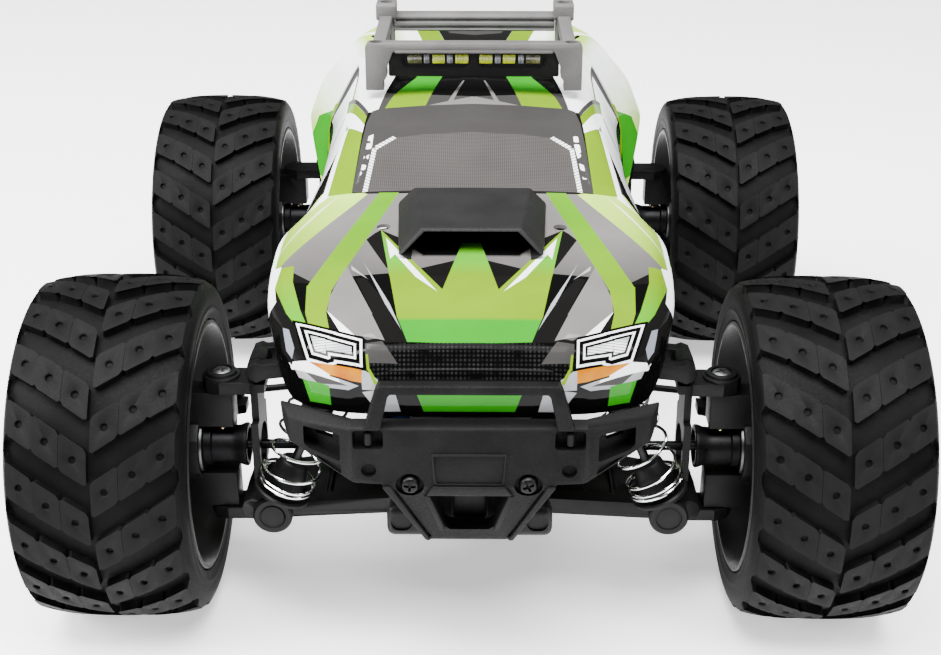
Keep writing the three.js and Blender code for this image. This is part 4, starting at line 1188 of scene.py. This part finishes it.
def bumper_openings(s):
    """Lamp pocket with its slot, light bar pocket, blind hole, screw recess, notch and chin crease."""
    pocket = on_side(s, (35.2, 94.8), (45.8, 93.9), (45.8, 88.2), (44, 87.2), (35.2, 86.4))
    slot = on_side(s, (37.6, 93.4), (42.6, 93), (42.6, 90.6), (37.6, 90.6))
    notch = on_side(s, (35, 85), (42.6, 85.9), (40.6, 84.6), (35, 82.4))
    crease = on_side(s, (20, 78), (20.8, 78), (11.4, 57.6), (10.6, 57.6))
    hole = [(-185, 0), (-185, 2.1), (-177.6, 2.1), (-177.6, 0)]
    recess = [(-185, 0), (-185, 3.9), (-177.4, 3.9), (-177.4, 0)]
    return [
        softened(prism(pocket, AHEAD, -174.4), 0.5),
        prism(slot, AHEAD, BEHIND),
        softened(cuboid(across(s, 23.2, 31.5), (AHEAD, -175.6), (91.4, 97.2)), 1.1, 4),
        turned(hole, (s * 27.3, 0, 84.7), (0, 1, 0), 24),
        turned(recess, (s * 16.2, 0, 79.8), (0, 1, 0), 32),
        prism(notch, AHEAD, -178),
        prism(crease, AHEAD, -178.2),
    ]


def bumper_face():
    front = [(0, 97.9), (32, 97.9), (50.5, 94.9), (50.5, 87.3), (31, 80.4), (24, 80), (12.4, 56), (0, 56)]
    back = [(0, 98.1), (32, 98.1), (53.6, 96.5), (53, 89.9), (31, 81), (24, 80), (12.4, 56), (0, 56)]
    rows = [[(x, y, z) for x, z in mirror_x(line)] for y, line in ((-179, front), (-172.3, back))]
    plate = softened(loft(rows), 0.8)
    window = prism([(-10.8, 76), (10.8, 76), (7, 62.4), (5.4, 61), (-5.4, 61), (-7, 62.4)], AHEAD, BEHIND)
    return cut(plate, window, *bumper_openings(1), *bumper_openings(-1))


def bumper_trim():
    """What stands proud of the face: shelf, middle frame, light bar posts and the chin's edges."""
    shelf = softened(prism(mirror_x([(0, 79.9), (9.8, 79.9), (12, 76.2), (0, 76.2)]), -180, -176), 0.5)
    shield = prism(mirror_x([(0, 90.1), (10.3, 90.1), (9.8, 82), (9.2, 80.2), (0, 80.2)]), -179.6, -177)
    inner = prism(mirror_x([(0, 89.5), (9.6, 89.5), (9.1, 81.6), (8.8, 80.8), (0, 80.8)]), -181, -179.1)
    parts = [shelf, cut(softened(shield, 0.5), inner)]
    post = [(92, 0), (92, 0.6), (92.4, 1), (95.8, 1), (96.2, 0.6), (96.2, 0)]
    for s in (1, -1):
        chin_edge = on_side(s, (23.8, 79.6), (21.4, 79.6), (11, 56.4), (12.4, 56.4))
        window_edge = on_side(s, (10.8, 76), (12.4, 76), (8.4, 61), (6.8, 61))
        parts.append(turned(post, (s * 27.4, -177.6, 0), (0, 0, 1), 16))
        parts.append(softened(prism(chin_edge, -179.9, -176), 0.4))
        parts.append(softened(prism(window_edge, -179.7, -176), 0.4))
    return joined(*parts)


def bumper_hoop():
    half = [(0, 111.2), (24.6, 111.2), (25.6, 110.3), (29.4, 97.4), (24.6, 97.4), (22.4, 107.6),
            (21.6, 108.4), (0, 108.4)]
    return softened(prism(mirror_x(half), -179.6, -175.4, "y"), 0.7, 3)


def chin_pads():
    """Ends of the hinge pin holder behind the chin, and the skid nose seen through it."""
    parts = [softened(cuboid((-12.6, 12.6), (-161, -152), (53, 76)), 1.6, 3),
             softened(cuboid((-5.4, 5.4), (-164, -160), (60, 72)), 1.2, 3)]
    for s in (1, -1):
        block = softened(cuboid(across(s, 12, 24.4), (-167, -158), (55.4, 65.6)), 2.4, 4)
        recess = round_ended(6.4, 2.6, -172, -166.2, (s * 20, 60.4))
        parts.append(cut(block, recess))
    made("chin_pads", joined(*parts), NYLON, "chassis")


def bumper():
    whole = joined(swept(joined(bumper_face(), bumper_trim())), bumper_hoop())
    made("fine_bumper", whole, BUMPER_PLASTIC, "chassis", ["front_bumper"])
    screws("bumper_screws", [(s * 16.7, -177.3, 79.8) for s in (1, -1)], (0, -1, 0), 2.75, "chassis", 2.2)
    chin_pads()


roof_rack()
bonnet_scoop()
bumper()


# ------------------------------------------------------------------ suspension and running gear
SHOCK_TOP = (38.0, 102.0)  # x, z of the damper's pivots on the right side
SHOCK_FOOT = (63.0, 43.0)
SHOCK_Y = 129.0
SHOCK_LENGTH = math.dist(SHOCK_TOP, SHOCK_FOOT)
COIL_R, WIRE_R = 8.9, 0.52
COIL_TOP, COIL_FOOT = 10.9, 55.3  # distances down the damper from its top pivot
COIL_TURNS, CLOSE_TOP, CLOSE_FOOT = 7.6, 0.7, 2.0  # turns in all, and close ones at either end
TOP_PITCH, FOOT_PITCH = 0.4, 1.5  # of the close turns
TOP_GAP, CLOSE_LENGTH = 0.9, 5.2  # above the first turn, and all that the open turns leave
COIL_STEPS = 300
KINGPIN_X = 80.5
LOWER_IN, LOWER_OUT = (17, 45), (71, 39)  # x, z of the arms' hinge pins
UPPER_IN, UPPER_OUT = (14, 92), (68, 86)


def on_shock(end, side, distance):
    """A point down the damper's axis from its top pivot."""
    x, z = blend_points(SHOCK_TOP, SHOCK_FOOT, distance / SHOCK_LENGTH)
    return Vector((side * x, end * SHOCK_Y, z))


def coil(corner, end, side):
    """The spring: most of a close turn at the top, open turns, then two close turns at the foot."""
    top, foot = on_shock(end, side, COIL_TOP), on_shock(end, side, COIL_FOOT)
    axis = (foot - top).normalized()
    first = axis.cross(Vector((0, 1, 0))).normalized()
    second = axis.cross(first)
    open_length = (foot - top).length - CLOSE_LENGTH
    path = []
    for i in range(COIL_STEPS + 1):
        turn = COIL_TURNS * i / COIL_STEPS
        share = min(max((turn - CLOSE_TOP) / (COIL_TURNS - CLOSE_TOP - CLOSE_FOOT), 0.0), 1.0)
        close = TOP_PITCH * min(turn, CLOSE_TOP) + FOOT_PITCH * max(0.0, turn - (COIL_TURNS - CLOSE_FOOT))
        a = 2 * math.pi * turn
        centre = top + axis * (TOP_GAP + close + open_length * share)
        path.append(centre + (first * math.cos(a) + second * math.sin(a)) * COIL_R)
    spring = made(f"coil_{corner}", tube(path, WIRE_R, 10), CHROME,
                  hides=[f"spring_{corner}"])
    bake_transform(spring)


def pivot_eye(at, half, rim, radius):
    """A damper's end eye, with its bore along the truck."""
    outline = [(-half, 1.6), (-half, rim), (0.6 - half, radius), (half - 0.6, radius), (half, rim),
               (half, 1.6)]
    return turned(outline, at, (0, 1, 0), 28)


def damper(corner, end, side):
    """Damper body with its spring collar and threads, then the rod with the lower spring cup."""
    top, foot = on_shock(end, side, 0), on_shock(end, side, SHOCK_LENGTH)
    along = tuple((foot - top).normalized())
    barrel = [(3.2, 0), (3.2, 4.2), (4.4, 5.2), (7.4, 5.2), (7.8, 8.2), (10.4, 8.2), (10.8, 5.2)]
    for groove in range(16):
        low = 11.2 + groove * 1.1
        barrel += [(low, 5.1), (low + 0.35, 4.7), (low + 0.75, 4.7)]
    barrel += [(29.5, 5.0), (33.2, 5.0), (34, 4.3), (34, 0)]
    body = joined(turned(barrel, top, along, 36), pivot_eye(top, 3.1, 3.4, 4))
    made(f"damper_{corner}", body, NYLON, f"damper_{corner}", [f"shock_body_{corner}"])
    from_foot = [(19, 1.7), (19, 4.1), (18.3, 4.8), (12, 6), (7.9, 6.4), (7.8, 8.6), (7.3, 9.2), (6.3, 9.2),
                 (5.7, 6.4), (3.2, 4.2), (3.2, 1.7)]
    cup = turned([(SHOCK_LENGTH - back, radius) for back, radius in from_foot], top, along, 36)
    made(f"damper_foot_{corner}", joined(cup, pivot_eye(foot, 3, 3.3, 3.8)), NYLON, f"piston_{corner}")
    rod_end = SHOCK_LENGTH - 3
    rod = turned([(29, 0), (29, 1.5), (rod_end, 1.5), (rod_end, 0)], top, along, 20)
    made(f"damper_rod_{corner}", rod, BLACK_STEEL, f"piston_{corner}",
         [f"shock_rod_{corner}"])


def pin(name, side, y, place, radius, half, body):
    """A hinge pin with rounded ends, along the truck."""
    end = radius * 0.8
    shape = [(-half, 0), (-half, end), (0.3 - half, radius), (half - 0.3, radius), (half, end), (half, 0)]
    made(name, turned(shape, (side * place[0], y, place[1]), (0, 1, 0), 20), DARK_STEEL, body)


def pins(corner, side, y):
    pin(f"hinge_pin_{corner}", side, y, LOWER_IN, 1.5, 19.6, "chassis")
    pin(f"outer_pin_{corner}", side, y, LOWER_OUT, 1.4, 11.4, f"arm_{corner}")
    pin(f"upper_pin_{corner}", side, y, UPPER_IN, 1.3, 9.4, "chassis")
    pin(f"upper_outer_pin_{corner}", side, y, UPPER_OUT, 1.2, 7.6, f"upper_arm_{corner}")


def arm_web(corner, side, y):
    """The thin floor of a lower arm, with ribs across it."""
    web = prism(on_side(side, (20, 43.2), (62, 38.6), (62, 40.4), (20, 45)), y - 15, y + 15)
    ribs = [prism(on_side(side, (x, 41.4), (x + 1.4, 41.3), (x + 1.4, 43.6), (x, 43.8)), y - 14, y + 14)
            for x in (28, 37, 46)]
    made(f"arm_web_{corner}", joined(softened(web, 0.3), *ribs), NYLON, f"arm_{corner}")


def damper_fixings(corner, end, side):
    """The screw in the damper's top eye and the cap over its foot."""
    away = (0, end, 0)
    head_at = on_shock(end, side, 0) + Vector(away) * 3.3
    screws(f"damper_screws_{corner}", [tuple(head_at)], away, 2.6, "chassis")
    cap = [(2.6, 0), (2.6, 5.9), (3.2, 6.3), (5.2, 6.3), (5.9, 5.7), (5.9, 4.2), (5.3, 3.9), (5.7, 3.5),
           (5.9, 0)]
    foot = on_shock(end, side, SHOCK_LENGTH)
    made(f"foot_cap_{corner}", turned(cap, foot, away, 36), NYLON, f"arm_{corner}")


def drive_cup(corner, side, y):
    """Drive cup with a flared mouth, then the stub axle with its wheel hex and nut."""
    at, along = (0, y, AXLE_Z), (side, 0, 0)
    cup = [(86, 0), (86, 5.6), (73.4, 5.6), (73, 5.9), (73, 6.9), (73.4, 7.2), (74.3, 7.1), (76, 6.4),
           (78.5, 6.2), (84.4, 6.2), (85, 6.8), (87.2, 6.8), (87.6, 6.4), (87.6, 2.5), (111.6, 2.5),
           (112, 2.1), (112, 0)]
    wheel_hex = [(95.6, 0), (95.6, 6.5), (96, 6.9), (101.2, 6.9), (101.6, 6.5), (101.6, 0)]
    nut = [(107.5, 0), (107.5, 4.1), (107.8, 4.4), (110.3, 4.4), (111, 3.8), (111, 0)]
    whole = joined(turned(cup, at, along, 48), turned(wheel_hex, at, along, 6), turned(nut, at, along, 6))
    made(f"drive_cup_{corner}", whole, BLACK_STEEL, f"wheel_{corner}",
         [f"stub_axle_{corner}"])


def axle_fittings(corner, side, y):
    """The drive cup's set screw and the bearing behind the wheel hex."""
    screws(f"set_screws_{corner}", [(side * 81.5, y, 62.2)], (0, 0, 1), 1.4, f"wheel_{corner}", 0.8, BRASS)
    race = [(0, 6.2), (0, 8.9), (0.7, 9.2), (3.3, 9.2), (4, 8.9), (4, 6.2)]
    bearing = turned(race, (side * 89.5 - 2, y, AXLE_Z), (1, 0, 0), 40)
    made(f"bearing_{corner}", bearing, DARK_STEEL, f"wheel_{corner}")


def web_relief(side, y):
    """The hollow in a hub bracket's inner face, between its two pin lugs."""
    return cuboid(across(side, 65, 68.2), (y - 12, y + 12), (44.5, 78))


def kingpin(corner, side, y):
    """Stepped boss on the upper eye, with the kingpin's screw head let into it."""
    boss = [(0, 0), (0, 5.7), (0.6, 6), (1.2, 5.9), (1.5, 5.2), (2.3, 4.9), (2.6, 4.4), (2.6, 3.5),
            (1.5, 3.3), (1.5, 0)]
    x, up, body = side * KINGPIN_X, (0, 0, 1), f"hub_{corner}"
    made(f"kingpin_boss_{corner}", turned(boss, (x, y, 80.6), up, 44), NYLON, body)
    screws(f"kingpins_{corner}", [(x, y, 81.9)], up, 3.1, body, 1.4, KINGPIN_STEEL)


def front_hub(corner, side, y):
    soft_copy(f"hub_bracket_{corner}", NYLON, 0.8, [web_relief(side, y)])
    soft_copy(f"steering_knuckle_{corner}", NYLON, 1.3)
    kingpin(corner, side, y)


def suspension():
    for corner, end, side in CORNERS:
        y = end * HALF_BASE
        coil(corner, end, side)
        damper(corner, end, side)
        arm_web(corner, side, y)
        pins(corner, side, y)
        damper_fixings(corner, end, side)
        axle_fittings(corner, side, y)
        soft_copy(f"lower_arm_{corner}", NYLON, 0.7)
        soft_copy(f"upper_arm_{corner}", NYLON, 0.6)
        drive_cup(corner, side, y)
        soft_copy(f"dogbone_{corner}", BLACK_STEEL, 0.25)
        if end < 0:
            front_hub(corner, side, y)
    for name, side in (("right", 1), ("left", -1)):
        soft_copy(f"rear_hub_{name}", NYLON, 0.8, [web_relief(side, HALF_BASE)])
        soft_copy(f"tie_rod_{name}", NYLON, 0.4)


# ------------------------------------------------------------------ chassis, drive line and electrics
CHASSIS_COPIES = {
    "chassis": (NYLON, 0.8), "rear_bulkhead": (NYLON, 0.6), "front_bulkhead": (NYLON, 0.6),
    "servo_horn": (NYLON, 0.4), "steering_rack": (NYLON, 0.4), "battery_pack": (BATTERY_WRAP, 1.6),
    "steering_servo": (NYLON, 0.7), "motor": (MOTOR_CAN, 0.5),
}
DRIVE_COPIES = {
    "centre_shaft": (DARK_STEEL, 0.3), "front_diff": (DARK_STEEL, 0.3), "rear_diff": (DARK_STEEL, 0.3),
    "motor_pinion": (BRASS, 0.2),
}


def soft_copies(rows, cuts):
    """Soft copies of several nodes, each with its material, edge width and cuts, if any."""
    for node, (material, width) in rows.items():
        soft_copy(node, material, width, cuts.get(node, ()))


def speed_controller():
    """A box beside the battery, with cooling fins on top."""
    box = softened(cuboid((8, 30), (-30, 22), (41.2, 55)), 1.4, 3)
    fins = [cuboid((9.5 + 2.4 * i, 10.6 + 2.4 * i), (-6, 18), (55, 58.6)) for i in range(8)]
    made("speed_controller", joined(box, *fins), NYLON, "chassis")


FRONT_POST_TOP, REAR_POST_TOP = 121, 141


def body_posts():
    """Tapered posts that carry the shell, each up to its hole."""
    for i, (x, y) in enumerate((s * x, y) for x, y in POST_HOLES for s in (1, -1)):
        top = FRONT_POST_TOP if y < 0 else REAR_POST_TOP
        outline = [(72, 0), (72, 2.6), (74, 3), (top - 26, 2.4), (top, 1.9), (top, 0)]
        made(f"body_post_{i}", turned(outline, (x, y, 0), (0, 0, 1), 20), NYLON, "chassis")


def chassis_pieces():
    rod_recesses = [cuboid(across(s, 10.5, 20), (-95.9, -94), (68.6, 77)) for s in (1, -1)]
    soft_copies(CHASSIS_COPIES, {"front_bulkhead": rod_recesses})
    speed_controller()
    body_posts()
    soft_copies(DRIVE_COPIES, {})


suspension()
chassis_pieces()


# ------------------------------------------------------------------ CAD nodes
def dress_cad_nodes():
    """Every CAD node carries its slot's material, whether it shows or a finer piece stands for it."""
    by_slot = {"nylon": NYLON, "trim": TRIM, "dark_steel": DARK_STEEL, "spring": CHROME, "tyre": RUBBER,
               "rim": RIM_PLASTIC, "shell": SHELL_PAINT, "battery": NYLON, "brass": BRASS, "lamp": NYLON}
    for node, slot in SLOTS.items():
        mesh = frame["nodes"][node].data
        mesh.materials.clear()
        mesh.materials.append(by_slot[slot])


dress_cad_nodes()


# ------------------------------------------------------------------ stage, light and camera
def floor():
    bm = bmesh.new()
    bmesh.ops.create_circle(bm, cap_ends=True, radius=6000, segments=96)
    n = Nodes("pale_floor", Roughness=0.6, Specular_IOR_Level=0.1, Emission_Strength=0.75,
              Emission_Color=(1, 1, 1))
    n.feed(Base_Color=n.mix(n.noise(3.0), (0.86, 0.86, 0.865), (0.89, 0.89, 0.89)))
    made("studio_floor", bm, n.material)


def area_light(name, where, aim, size, power, shape=(1, 1)):
    """A rectangular lamp in metres, aimed at a point; shape stretches its two sides."""
    light = bpy.data.lights.new(name, "AREA")
    light.shape = "RECTANGLE"
    light.size, light.size_y = size * shape[0], size * shape[1]
    light.energy = power
    obj = new_object(name, light)
    obj.location = where
    obj.rotation_euler = (Vector(aim) - Vector(where)).to_track_quat("-Z", "Y").to_euler()


def studio():
    world = bpy.data.worlds.new("studio")
    world.use_nodes = True
    background = world.node_tree.nodes["Background"]
    background.inputs["Color"].default_value = (1.0, 1.0, 1.0, 1.0)
    background.inputs["Strength"].default_value = 0.24
    bpy.context.scene.world = world
    area_light("overhead", (-0.16, -0.55, 1.5), (0.0, 0.05, 0.0), 1.0, 150.0, (1.9, 0.8))
    for side in (-1, 1):
        area_light(f"rear_{side + 2}", (0.5 * side, 0.7, 1.5), (0.2 * side, 0.2, 0.0), 0.4, 9.0, (1.2, 0.5))
        area_light(f"side_{side + 2}", (1.5 * side, -0.5, 0.9), (0.2 * side, 0.0, 0.05), 0.8,
                   46.0 - 22.0 * side)


def camera():
    """The camera fitted to the outlines of the photo's four tyres."""
    data = bpy.data.cameras.new("camera")
    data.lens = 57.8
    data.shift_y = 0.026
    data.clip_start = 0.01
    obj = new_object("camera", data)
    obj.location = (0.0038, -0.549, 0.292)
    obj.rotation_euler = (math.pi / 2 - 0.432, 0.0, 0.0092)
    bpy.context.scene.camera = obj


floor()
studio()
camera()
